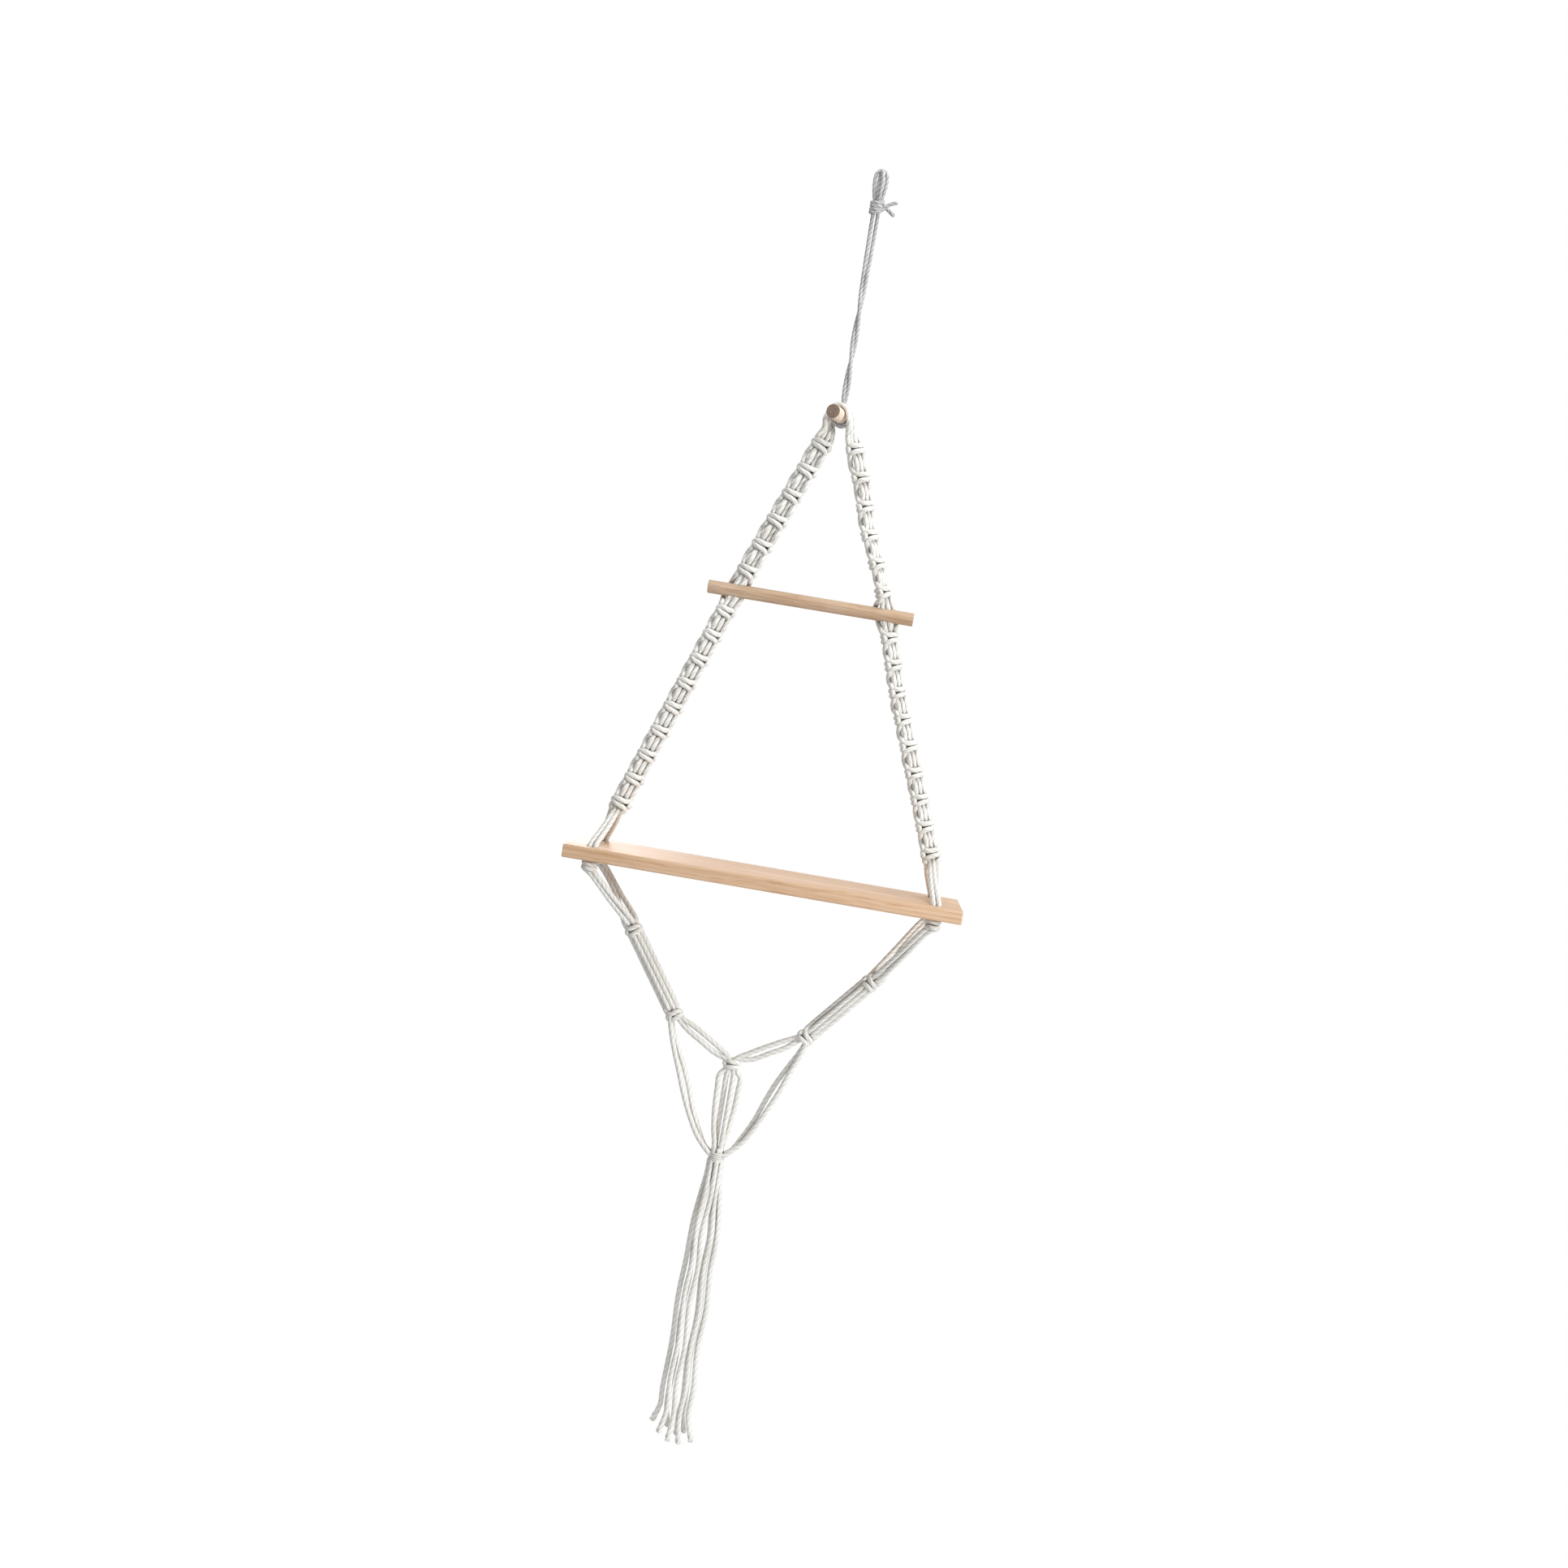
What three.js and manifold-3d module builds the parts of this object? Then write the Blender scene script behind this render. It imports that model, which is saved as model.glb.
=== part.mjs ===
// Hanging rope shelf: a drilled board and a cross bar carried by four long cotton cords,
// which lie over a short dowel, run down as two knotted legs, pass through the board,
// and meet below it in an open net with a tassel. A thinner cord hangs the dowel from a hook.
// Millimetres, +Z up. The hook bears on the origin, and every drop is measured down from it.
import * as THREE from 'three';
import { mergeVertices } from 'three/addons/utils/BufferGeometryUtils.js';
import Module from 'manifold-3d';

const wasm = await Module();
wasm.setup();

// Shared clearance between pieces that touch
const gap = 0.3;

// Board
const boardLength = 450;
const boardDepth = 120;
const boardThickness = 15;
const boardEdge = 1.2;
const boardDrop = 795;
const holeDia = 14;
const holeInset = 30;
const holeEdge = 20;

// Cross bar, which reaches past the middle of each leg
const barOverhang = 31.5;
const barDia = 15;
const barEdge = 0.8;
const barDrop = 485;

// Top dowel, turned a little about the hanging line so that its front end points left
const dowelLength = 70;
const dowelDia = 16;
const dowelEdge = 0.8;
const dowelDrop = 274;
const dowelTurn = THREE.MathUtils.degToRad(15);

// Cords: the four long ones, and the thinner one that goes up to the hook
const cordDia = 6;
const hangCordDia = 4;

// Hanging loop, its knot and the two strands down to the dowel
const loopHeight = 30;
const loopWidth = 10;
const hangKnotBarrel = 13;
const hangKnotRadius = 7;
const hangKnotWidth = 14;
const hangTailLength = 15;
const strandSpread = 8;
const strandMeetDrop = 127;
const strandTurns = 1.25;

// Square knots of the legs
const knotHeight = 14;
const knotDepth = 17;
const knotPitch = 32;
const stackShare = 0.7;
const startShare = 0.8;
const firstKnotDrop = 38;
const barKnotReach = 26;
const footRise = 45;

// Stopper knots below the board
const stopperHeight = 13;
const stopperRadius = 9.5;

// Knots of the net below the board: half length across the cords, and radius
const netKnotHalf = 14;
const netKnotRadius = 8.5;
const bindingRadius = 9;

// Places of the net's knots: in from the holes, and below the board's top
const upperKnotInset = 57;
const leftUpperKnotBelow = 91;
const rightUpperKnotBelow = 106;
const sideKnotInset = 119;
const sideKnotBelow = 180;
const centreKnotBelow = 224;
const bindingBelow = 333;
const netShift = -2;
const innerBow = 6;
const centreStrandPitch = 8;

// Radii, pitches and places that follow from the sizes above
const holeSpan = boardLength - 2 * holeInset;
const holeDepthSpan = boardDepth - 2 * holeEdge;
const upperKnotSide = holeSpan / 2 - upperKnotInset;
const sideKnotSide = holeSpan / 2 - sideKnotInset;
const leftUpperKnotDrop = boardDrop + leftUpperKnotBelow;
const rightUpperKnotDrop = boardDrop + rightUpperKnotBelow;
const sideKnotDrop = boardDrop + sideKnotBelow;
const centreKnotDrop = boardDrop + centreKnotBelow;
const bindingDrop = boardDrop + bindingBelow;
const cordRadius = cordDia / 2;
const cordPitch = cordDia + gap;
const hangCordRadius = hangCordDia / 2;
const hangCordPitch = hangCordDia + gap;
const dowelRadius = dowelDia / 2;
const barRadius = barDia / 2;
const knotterAcross = 1.5 * cordPitch + gap / 2;
const knotHalfWidth = 2 * cordPitch + 1.5 * gap;

// Finishes, with the colours of the photographed wood and cotton
const boardWood = new THREE.MeshStandardMaterial({ color: 0xdcb58c, roughness: 0.6, metalness: 0 });
const barWood = new THREE.MeshStandardMaterial({ color: 0xc9a67f, roughness: 0.6, metalness: 0 });
const dowelWood = new THREE.MeshStandardMaterial({ color: 0xe3cbb0, roughness: 0.65, metalness: 0 });
const cotton = new THREE.MeshStandardMaterial({ color: 0xeee9e1, roughness: 0.95, metalness: 0 });
const greyCotton = new THREE.MeshStandardMaterial({ color: 0xc9cacc, roughness: 0.95, metalness: 0 });

const shelf = new THREE.Group();

function addPart(name, geometry, material, parent = shelf) {
  const mesh = new THREE.Mesh(geometry, material);
  mesh.name = name;
  parent.add(mesh);
  return mesh;
}

// Solid cutting and joining

function toSolid(geometry) {
  const bare = geometry.clone();
  bare.deleteAttribute('normal');
  bare.deleteAttribute('uv');
  const merged = mergeVertices(bare);
  const corners = merged.index.array;
  return new wasm.Manifold(new wasm.Mesh({
    numProp: 3,
    vertProperties: new Float32Array(merged.attributes.position.array),
    triVerts: new Uint32Array(corners),
  }));
}

function toGeometry(solid) {
  const mesh = solid.getMesh();
  const geometry = new THREE.BufferGeometry();
  geometry.setAttribute('position', new THREE.BufferAttribute(new Float32Array(mesh.vertProperties), 3));
  geometry.setIndex(new THREE.BufferAttribute(new Uint32Array(mesh.triVerts), 1));
  return geometry;
}

function cut(geometry, ...cutters) {
  return toGeometry(cutters.reduce((solid, cutter) => solid.subtract(toSolid(cutter)), toSolid(geometry)));
}

function join(first, ...others) {
  return toGeometry(others.reduce((solid, other) => solid.add(toSolid(other)), toSolid(first)));
}

// Shapes that the pieces share

function vec(x, y, z) {
  return new THREE.Vector3(x, y, z);
}

function ringOutline(radius, sides) {
  const outline = [];
  for (let i = 0; i < sides; i += 1) {
    const angle = (2 * Math.PI * i) / sides;
    outline.push(new THREE.Vector2(radius * Math.cos(angle), radius * Math.sin(angle)));
  }
  return outline;
}

// A smooth route whose sections fall on its own points, so straight runs need few of them
class Route extends THREE.CatmullRomCurve3 {
  getUtoTmapping(share) {
    return share;
  }
}

function cord(points, diameter, perSpan = 1, sides = 8) {
  const section = new THREE.Shape(ringOutline(diameter / 2, sides));
  const steps = perSpan * (points.length - 1);
  return new THREE.ExtrudeGeometry(section, { extrudePath: new Route(points), steps });
}

// A slot with round ends, wide enough for two cords side by side
function slotOutline(radius, between, steps) {
  const outline = [];
  for (const end of [1, -1]) {
    for (let i = 0; i <= steps; i += 1) {
      const angle = (end * Math.PI) / 2 - Math.PI / 2 + (Math.PI * (i - steps / 2)) / steps;
      const lift = end * between / 2;
      outline.push(new THREE.Vector2(lift + radius * Math.cos(angle), radius * Math.sin(angle)));
    }
  }
  return outline;
}

// A rounded knot, turned about local Y and then laid so that its axis points in a direction
function roll(centre, direction, half, radius, steps = 6, sides = 12) {
  const profile = [];
  for (let i = 0; i <= steps; i += 1) {
    const angle = (Math.PI * i) / steps - Math.PI / 2;
    const out = i === 0 || i === steps ? 0 : radius * Math.cos(angle);
    profile.push(new THREE.Vector2(out, half * Math.sin(angle)));
  }
  const geometry = new THREE.LatheGeometry(profile, sides);
  const turn = new THREE.Quaternion().setFromUnitVectors(vec(0, 1, 0), direction.clone().normalize());
  geometry.applyQuaternion(turn);
  geometry.translate(centre.x, centre.y, centre.z);
  return geometry;
}

function roundBar(length, radius, edge, sides = 24) {
  const half = length / 2;
  const profile = [
    new THREE.Vector2(0, -half),
    new THREE.Vector2(radius - edge, -half),
    new THREE.Vector2(radius, -half + edge),
    new THREE.Vector2(radius, half - edge),
    new THREE.Vector2(radius - edge, half),
    new THREE.Vector2(0, half),
  ];
  return new THREE.LatheGeometry(profile, sides);
}

// The line of each leg: it leaves the dowel as a tangent and aims at the board's holes
const saddleRadius = dowelRadius + gap + cordRadius;
const legReach = Math.hypot(holeSpan / 2, boardDrop - dowelDrop);
const legLean = Math.atan2(holeSpan / 2, boardDrop - dowelDrop) - Math.asin(saddleRadius / legReach);
const leanSin = Math.sin(legLean);
const leanCos = Math.cos(legLean);
const saddleLean = Math.atan2(leanSin * Math.cos(dowelTurn), leanCos);
const legTopDrop = dowelDrop - saddleRadius * leanSin;
const barReach = (barDrop - legTopDrop) / leanCos;
const legEnd = (boardDrop - footRise - legTopDrop) / leanCos;
const barLength = 2 * (saddleRadius * leanCos + barReach * leanSin + barOverhang);

// A point of a leg: reach down the leg, across it towards the outside, and back in depth
function legPoint(side, reach, across, back) {
  const out = saddleRadius * leanCos + reach * leanSin + across * leanCos;
  const drop = legTopDrop + reach * leanCos - across * leanSin;
  return vec(side * out, back, -drop);
}

// Reaches of the square knots, in even steps above and below the bar
function knotReaches() {
  const reaches = [];
  const spans = [
    [firstKnotDrop, barReach - barKnotReach],
    [barReach + barKnotReach, legEnd - knotHeight / 2],
  ];
  for (const [start, end] of spans) {
    const count = Math.max(1, Math.round((end - start) / knotPitch));
    for (let i = 0; i <= count; i += 1) {
      reaches.push(start + ((end - start) * i) / count);
    }
  }
  return reaches;
}

// Turns a shape drawn with its depth along Z so that this lies down the leg
function alongLeg(side, reach) {
  const across = vec(side * leanCos, 0, leanSin);
  const down = vec(side * leanSin, 0, -leanCos);
  const back = vec(0, -side, 0);
  const matrix = new THREE.Matrix4().makeBasis(across, back, down);
  return matrix.setPosition(legPoint(side, reach, 0, 0));
}

// Places of the cords along the dowel, counted from its middle
const hitchHalf = hangCordPitch / 2 + hangCordRadius;
const hitchRadius = dowelRadius + gap + hangCordDia;
const hitchClear = Math.sqrt(hitchRadius ** 2 - (dowelRadius + gap) ** 2) + gap;
const fillerOffset = hitchHalf + gap + cordRadius;
const knotterOffset = fillerOffset + cordPitch;

// A cord's last bit on the dowel and its first bit off it, in the dowel's own frame
function dowelExit(side, offset, beyond) {
  const across = side * (saddleRadius * Math.cos(saddleLean) + beyond * Math.sin(saddleLean));
  const up = saddleRadius * Math.sin(saddleLean) - beyond * Math.cos(saddleLean);
  const point = vec(across, offset, up);
  point.applyAxisAngle(vec(0, 0, 1), -dowelTurn);
  point.z -= dowelDrop;
  return point;
}

// Hanging loop, with its eye round the hook
function makeHangingLoop() {
  const top = hangCordRadius;
  const half = loopWidth / 2 + hangCordRadius;
  const neck = strandSpread / 2;
  const heightShares = [0.88, 0.6, 0.3];
  const halfShares = [0.12, 0.6, 0.98];
  const left = heightShares.map((share, i) => (
    vec(-neck - (half - neck) * halfShares[i], 0, top - (loopHeight + top) * share)));
  const right = left.map((point) => vec(-point.x, 0, point.z)).reverse();
  const crown = [vec(-half * Math.SQRT1_2, 0, top - half * (1 - Math.SQRT1_2)), vec(0, 0, top)];
  const route = [
    vec(-neck, 0, gap - loopHeight),
    ...left,
    ...crown,
    vec(half * Math.SQRT1_2, 0, top - half * (1 - Math.SQRT1_2)),
    ...right,
    vec(neck, 0, gap - loopHeight),
  ];
  addPart('hanging_loop', cord(route, hangCordDia), greyCotton);
}

// Knot of the hanging cord: a barrel, a roll across its lower end, and two short tails
const hangPivotDrop = loopHeight + hangKnotBarrel;

function makeHangingKnot() {
  const inset = hangCordRadius / 2;
  const profile = [
    new THREE.Vector2(0, 0),
    new THREE.Vector2(hangKnotRadius, 0),
    new THREE.Vector2(hangKnotRadius, hangKnotBarrel - inset),
    new THREE.Vector2(hangKnotRadius - inset / 2, hangKnotBarrel),
    new THREE.Vector2(0, hangKnotBarrel),
  ];
  const barrel = new THREE.LatheGeometry(profile, 16);
  barrel.rotateX(Math.PI / 2);
  barrel.translate(0, 0, -hangPivotDrop);
  const across = roundBar(hangKnotWidth, hangKnotRadius, inset, 24);
  across.rotateZ(Math.PI / 2);
  across.translate(0, 0, -hangPivotDrop);
  const reach = hangKnotRadius + hangTailLength;
  const middle = loopHeight + hangKnotBarrel / 2;
  const tails = [
    [vec(0, -gap, -middle), vec(reach / 2, -hangCordRadius, -middle), vec(reach, -hangCordDia, hangCordDia - middle)],
    [vec(0, gap, -middle), vec(reach / 2, hangCordRadius, -middle - gap),
      vec(reach - hangCordRadius, hangCordDia, -middle - hangTailLength / 2)],
  ].map((route) => cord(route, hangCordDia, 2));
  addPart('hanging_knot', join(barrel, across, ...tails), greyCotton);
}

// The two strands: apart at the knot, meeting lower down, then loosely twisted to the dowel
const capDrop = dowelDrop - dowelRadius - gap - hangCordDia - hangCordRadius / 2;

function makeHangingStrands() {
  const pivot = roundBar(hangKnotWidth * 2, hangKnotRadius + gap, gap, 24);
  pivot.rotateZ(Math.PI / 2);
  pivot.translate(0, 0, -hangPivotDrop);
  const end = capDrop - gap;
  const endTurn = strandTurns * 2 * Math.PI - dowelTurn;
  for (const [name, side] of [['hanging_strand_left', -1], ['hanging_strand_right', 1]]) {
    const route = [];
    route.push(vec((side * strandSpread) / 2, 0, -hangPivotDrop));
    route.push(vec((side * strandSpread) / 2, 0, -hangPivotDrop - hangCordDia * 3));
    const turns = 14;
    for (let i = 0; i <= turns; i += 1) {
      const angle = (endTurn * i) / turns;
      const drop = strandMeetDrop + ((end - strandMeetDrop) * i) / turns;
      const out = (side * hangCordPitch) / 2;
      route.push(vec(out * Math.cos(angle), out * Math.sin(angle), -drop));
    }
    addPart(name, cut(cord(route, hangCordDia), pivot), greyCotton);
  }
}

// Everything on the dowel is built about its own axis, in a group turned to its heading
const dowelGroup = new THREE.Group();
dowelGroup.position.z = -dowelDrop;
dowelGroup.rotation.z = -dowelTurn;
shelf.add(dowelGroup);

function makeDowel() {
  addPart('top_dowel', roundBar(dowelLength, dowelRadius, dowelEdge), dowelWood, dowelGroup);
}

// Two turns of the hanging cord round the dowel, joined by a flat pad where the strands rise
function makeDowelHitch() {
  const turnRadius = dowelRadius + gap + hangCordRadius;
  const rings = [-1, 1].map((side) => {
    const profile = ringOutline(hangCordRadius, 8).map((point) => (
      new THREE.Vector2(turnRadius + point.x, point.y + (side * hangCordPitch) / 2)));
    profile.push(profile[0].clone());
    return new THREE.LatheGeometry(profile, 16);
  });
  const padTop = dowelDrop - capDrop;
  const padBottom = dowelRadius + hangCordRadius / 2;
  const padHalf = hangCordPitch;
  const pad = new THREE.BoxGeometry(2 * padHalf, 2 * hitchHalf, padTop - padBottom);
  pad.translate(0, 0, (padTop + padBottom) / 2);
  addPart('dowel_hitch', join(rings[0], rings[1], pad), greyCotton, dowelGroup);
}

// The four long cords lie over the dowel as saddles, two on each side of the hitch
function makeSaddle(name, offset) {
  const points = [];
  const steps = 10;
  const start = saddleLean + gap / saddleRadius;
  const sweep = Math.PI - 2 * start;
  for (let i = 0; i <= steps; i += 1) {
    const angle = start + (sweep * i) / steps;
    points.push(vec(saddleRadius * Math.cos(angle), offset, saddleRadius * Math.sin(angle)));
  }
  addPart(name, cord(points, cordDia), cotton, dowelGroup);
}

// The way from the last square knot through one hole of the board, for one of its two cords
function footRoute(side, end, lane, across) {
  const holeX = side * (holeSpan / 2 + (lane * cordPitch) / 2);
  const holeY = (end * holeDepthSpan) / 2;
  const start = legPoint(side, legEnd + cordRadius, across, end * gap);
  const rise = footRise - cordRadius;
  const outShares = [0.3, 0.62, 0.86, 1];
  const heightShares = [0.66, 0.36, 0.16, 0];
  const bend = outShares.map((share, i) => vec(
    start.x + (holeX - start.x) * share,
    start.y + (holeY - start.y) * share,
    rise * heightShares[i] - boardDrop,
  ));
  return [start, ...bend, vec(holeX, holeY, -boardDrop - boardThickness)];
}

// Fillers: the two middle cords of each leg, straight from the dowel through the bar and the board
function makeFiller(name, side, offset, lane) {
  const across = (lane * cordPitch) / 2;
  const sleeveTop = firstKnotDrop - knotHeight / 2;
  addPart(name, cord([
    dowelExit(side, offset, gap),
    dowelExit(side, offset, hitchClear),
    legPoint(side, sleeveTop - cordDia, across, 0),
    legPoint(side, firstKnotDrop, across, 0),
    legPoint(side, (firstKnotDrop + barReach) / 2, across, 0),
    legPoint(side, barReach, across, 0),
    legPoint(side, (barReach + legEnd) / 2, across, 0),
    legPoint(side, legEnd - knotHeight, across, 0),
    ...footRoute(side, -1, lane, across),
  ], cordDia), cotton);
}

// One square knot of a leg: an oval sleeve with a slot for the two fillers
function knotSleeve(side, reach) {
  const outline = slotOutline(knotDepth / 2, 2 * knotHalfWidth - knotDepth, 3);
  const shape = new THREE.Shape(outline);
  shape.holes.push(new THREE.Path(slotOutline(cordRadius + gap, cordPitch, 4)));
  const sleeve = new THREE.ExtrudeGeometry(shape, { depth: knotHeight, bevelEnabled: false });
  sleeve.translate(0, 0, -knotHeight / 2);
  sleeve.applyMatrix4(alongLeg(side, reach));
  return sleeve;
}

// Side cord between two square knots; the one at the bar passes behind it
function knotBow(side, lane, from, to) {
  const across = lane * knotterAcross;
  const route = [legPoint(side, from, across, 0)];
  if (from < barReach && to > barReach) {
    const step = Math.PI / 4;
    const clear = (barRadius + gap + cordRadius) / Math.cos(step / 2);
    const middle = barReach + (across * leanSin) / leanCos;
    for (const turn of [-1, 0, 1]) {
      const reach = middle + (clear * Math.sin(turn * step)) / leanCos;
      route.push(legPoint(side, reach, across, clear * Math.cos(turn * step)));
    }
  }
  route.push(legPoint(side, to, across, 0));
  return cord(route, cordDia, 1, 6);
}

// The two outer cords of a leg with every square knot they tie, one joined solid
function makeKnottedPair(name, side) {
  const reaches = knotReaches();
  const sink = knotHeight / 4;
  const sleeveTop = reaches[0] - knotHeight / 2;
  const pieces = reaches.map((reach) => knotSleeve(side, reach));
  for (const lane of [-1, 1]) {
    const across = lane * knotterAcross;
    const offset = lane * side * knotterOffset;
    pieces.push(cord([
      dowelExit(side, offset, gap),
      dowelExit(side, offset + 3 * gap * lane * side, hitchClear),
      legPoint(side, sleeveTop - cordDia, across, lane * side * cordDia * stackShare),
      legPoint(side, sleeveTop + sink, across, 0),
    ], cordDia));
    for (let i = 1; i < reaches.length; i += 1) {
      const from = reaches[i - 1] + knotHeight / 2 - sink;
      const to = reaches[i] - knotHeight / 2 + sink;
      pieces.push(knotBow(side, lane, from, to));
    }
    const foot = footRoute(side, 1, lane, across);
    pieces.push(cord([legPoint(side, legEnd - sink, across, 0), ...foot], cordDia));
  }
  addPart(name, join(pieces[0], ...pieces.slice(1)), cotton);
}

// Cross bar, with one slot for the fillers of each leg
function makeCrossBar() {
  const bar = roundBar(barLength, barRadius, barEdge);
  bar.rotateZ(Math.PI / 2);
  bar.translate(0, 0, -barDrop);
  const slots = [-1, 1].map((side) => {
    const shape = new THREE.Shape(slotOutline(cordRadius + gap, cordPitch, 6));
    const slot = new THREE.ExtrudeGeometry(shape, { depth: 2 * barDia, bevelEnabled: false });
    slot.translate(0, 0, -barDia);
    slot.applyMatrix4(alongLeg(side, barReach));
    return slot;
  });
  addPart('cross_bar', cut(bar, ...slots), barWood);
}

// Board with eased edges and four bored holes, two at each end
function makeBoard() {
  const halfLength = boardLength / 2;
  const halfDepth = boardDepth / 2;
  const outline = new THREE.Shape([
    new THREE.Vector2(-halfLength, -halfDepth),
    new THREE.Vector2(halfLength, -halfDepth),
    new THREE.Vector2(halfLength, halfDepth),
    new THREE.Vector2(-halfLength, halfDepth),
  ]);
  for (const side of [-1, 1]) {
    for (const end of [-1, 1]) {
      const centre = new THREE.Vector2((side * holeSpan) / 2, (end * holeDepthSpan) / 2);
      outline.holes.push(new THREE.Path(ringOutline(holeDia / 2, 16).map((point) => point.add(centre))));
    }
  }
  const board = new THREE.ExtrudeGeometry(outline, {
    depth: boardThickness - 2 * boardEdge,
    bevelThickness: boardEdge,
    bevelSize: boardEdge,
    bevelOffset: -boardEdge,
    bevelSegments: 1,
  });
  const mesh = addPart('shelf_board', board, boardWood);
  mesh.position.z = boardEdge - boardDrop - boardThickness;
}

// Net below the board

const upperKnots = {
  left: vec(-upperKnotSide, 0, -leftUpperKnotDrop),
  right: vec(upperKnotSide, 0, -rightUpperKnotDrop),
};
const sideKnots = {
  left: vec(-sideKnotSide, 0, -sideKnotDrop),
  right: vec(sideKnotSide, 0, -sideKnotDrop),
};
const centreKnot = vec(netShift, 0, -centreKnotDrop);
const bindingKnot = vec(netShift, 0, -bindingDrop);
const netHinge = upperKnots.right.clone().sub(upperKnots.left).normalize();

// Each knot's own shape, and the same shape a clearance larger, which trims the cords that end at it
const netShapes = {
  left_upper_knot: (grow) => roll(upperKnots.left, netHinge, netKnotHalf + grow, netKnotRadius + grow),
  right_upper_knot: (grow) => roll(upperKnots.right, netHinge, netKnotHalf + grow, netKnotRadius + grow),
  left_side_knot: (grow) => sideKnotShape('left', grow),
  right_side_knot: (grow) => sideKnotShape('right', grow),
  centre_knot: (grow) => roll(centreKnot, vec(1, 0, 0), netKnotHalf + grow, netKnotRadius + grow),
  tassel_binding: (grow) => roll(bindingKnot, vec(0, 1, 0), bindingRadius + grow, bindingRadius + grow, 8, 14),
};

function sideKnotShape(side, grow) {
  const arm = sideKnots[side].clone().sub(upperKnots[side]).normalize();
  const across = vec(-arm.z, 0, arm.x);
  return roll(sideKnots[side], across, netKnotHalf + grow, netKnotRadius + grow);
}

function makeNetKnots() {
  for (const [name, shape] of Object.entries(netShapes)) {
    addPart(name, shape(0), cotton);
  }
}

// Stopper knot under one hole, with its two cords running in to the upper knot
function makeUpperArm(name, side, sideName, end) {
  const holeX = (side * holeSpan) / 2;
  const holeY = (end * holeDepthSpan) / 2;
  const top = -boardDrop - boardThickness - gap;
  const inset = stopperRadius / 5;
  const profile = [
    new THREE.Vector2(0, -stopperHeight),
    new THREE.Vector2(stopperRadius - 2 * inset, -stopperHeight),
    new THREE.Vector2(stopperRadius, -stopperHeight * 0.65),
    new THREE.Vector2(stopperRadius, -stopperHeight * 0.3),
    new THREE.Vector2(stopperRadius - inset, 0),
    new THREE.Vector2(0, 0),
  ];
  const stopper = new THREE.LatheGeometry(profile, 12);
  stopper.rotateX(Math.PI / 2);
  stopper.translate(holeX, holeY, top);
  const knot = upperKnots[sideName];
  const cords = [-1, 1].map((lane) => {
    const startX = holeX + (lane * cordPitch) / 2;
    const endX = knot.x + (lane * cordPitch) / 2;
    const start = vec(startX, holeY, top - stopperHeight * 0.6);
    const finish = vec(endX, (end * (cordPitch + gap)) / 2, knot.z);
    return cord([
      start,
      vec(startX, holeY, top - stopperHeight - cordRadius),
      start.clone().lerp(finish, 0.5),
      finish,
    ], cordDia);
  });
  const arm = cut(join(cords[0], cords[1]), netShapes[`${sideName}_upper_knot`](gap));
  addPart(name, join(stopper, arm), cotton);
}

// Four cords side by side from an upper knot to a side knot
function makeArmCords(sideName) {
  const from = upperKnots[sideName];
  const to = sideKnots[sideName];
  const down = to.clone().sub(from).normalize();
  const across = down.clone().cross(vec(0, 1, 0));
  for (let i = 0; i < 4; i += 1) {
    const shift = across.clone().multiplyScalar((i - 1.5) * cordPitch);
    const late = Math.max(0, (startShare * shift.z) / -down.z);
    const start = from.clone().add(shift).addScaledVector(down, late);
    const arm = cut(
      cord([start, to.clone().add(shift)], cordDia),
      netShapes[`${sideName}_upper_knot`](gap),
      netShapes[`${sideName}_side_knot`](gap),
    );
    addPart(`${sideName}_arm_cord_${i + 1}`, arm, cotton);
  }
}

// Pairs from the side knots to the centre knot; the upper cord of each bows up a little
function makeInnerPair(sideName) {
  const from = sideKnots[sideName];
  const line = centreKnot.clone().sub(from);
  const rise = vec(Math.abs(line.z) * Math.sign(line.x), 0, Math.abs(line.x)).normalize();
  const places = { upper: { lane: 1, bowShare: 0.9 }, lower: { lane: -1, bowShare: -0.2 } };
  for (const [place, { lane, bowShare }] of Object.entries(places)) {
    const routeShares = [0.08, 0.27, 0.5, 0.73, 0.93];
    const route = routeShares.map((share) => {
      const off = (lane * cordPitch) / 2 + 4 * share * (1 - share) * bowShare * innerBow;
      return from.clone().addScaledVector(line, share).addScaledVector(rise, off);
    });
    const trimmed = cut(cord(route, cordDia), netShapes[`${sideName}_side_knot`](gap), netShapes.centre_knot(gap));
    addPart(`${sideName}_inner_cord_${place}`, trimmed, cotton);
  }
}

// Routes of the slack pairs from the side knots to the tassel binding, chosen by hand:
// side, depth and drop, from the binding's centre
const outerPairRoutes = {
  left_outer_cord_front: [
    [-79, -3.4, -152], [-74, -3.4, -133], [-68, -3.4, -115], [-59, -3.4, -92], [-49, -3.4, -66],
    [-38, -3.4, -42], [-26, -3.4, -21], [-17, -3.4, -10.5], [-7.5, -3.4, -1.5]],
  left_outer_cord_back: [
    [-79, 3.4, -152], [-73, 3.4, -134], [-65, 3.4, -117], [-54, 3.4, -95], [-44, 3.4, -71],
    [-35, 3.4, -46], [-24, 3.4, -23], [-17, 3.4, -10.5], [-7.5, 3.4, -1.5]],
  right_outer_cord_front: [
    [82, -3.4, -152], [75, -3.4, -131], [67, -3.4, -110], [59, -3.4, -87], [49, -3.4, -64],
    [38, -3.4, -41], [26, -3.4, -20], [17, -3.4, -10.5], [7.5, -3.4, -1.5]],
  right_outer_cord_back: [
    [82, 3.4, -152], [74, 3.4, -134], [64, 3.4, -115], [53, 3.4, -93], [44, 3.4, -70],
    [35, 3.4, -45], [24, 3.4, -23], [17, 3.4, -10.5], [7.5, 3.4, -1.5]],
};

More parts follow.
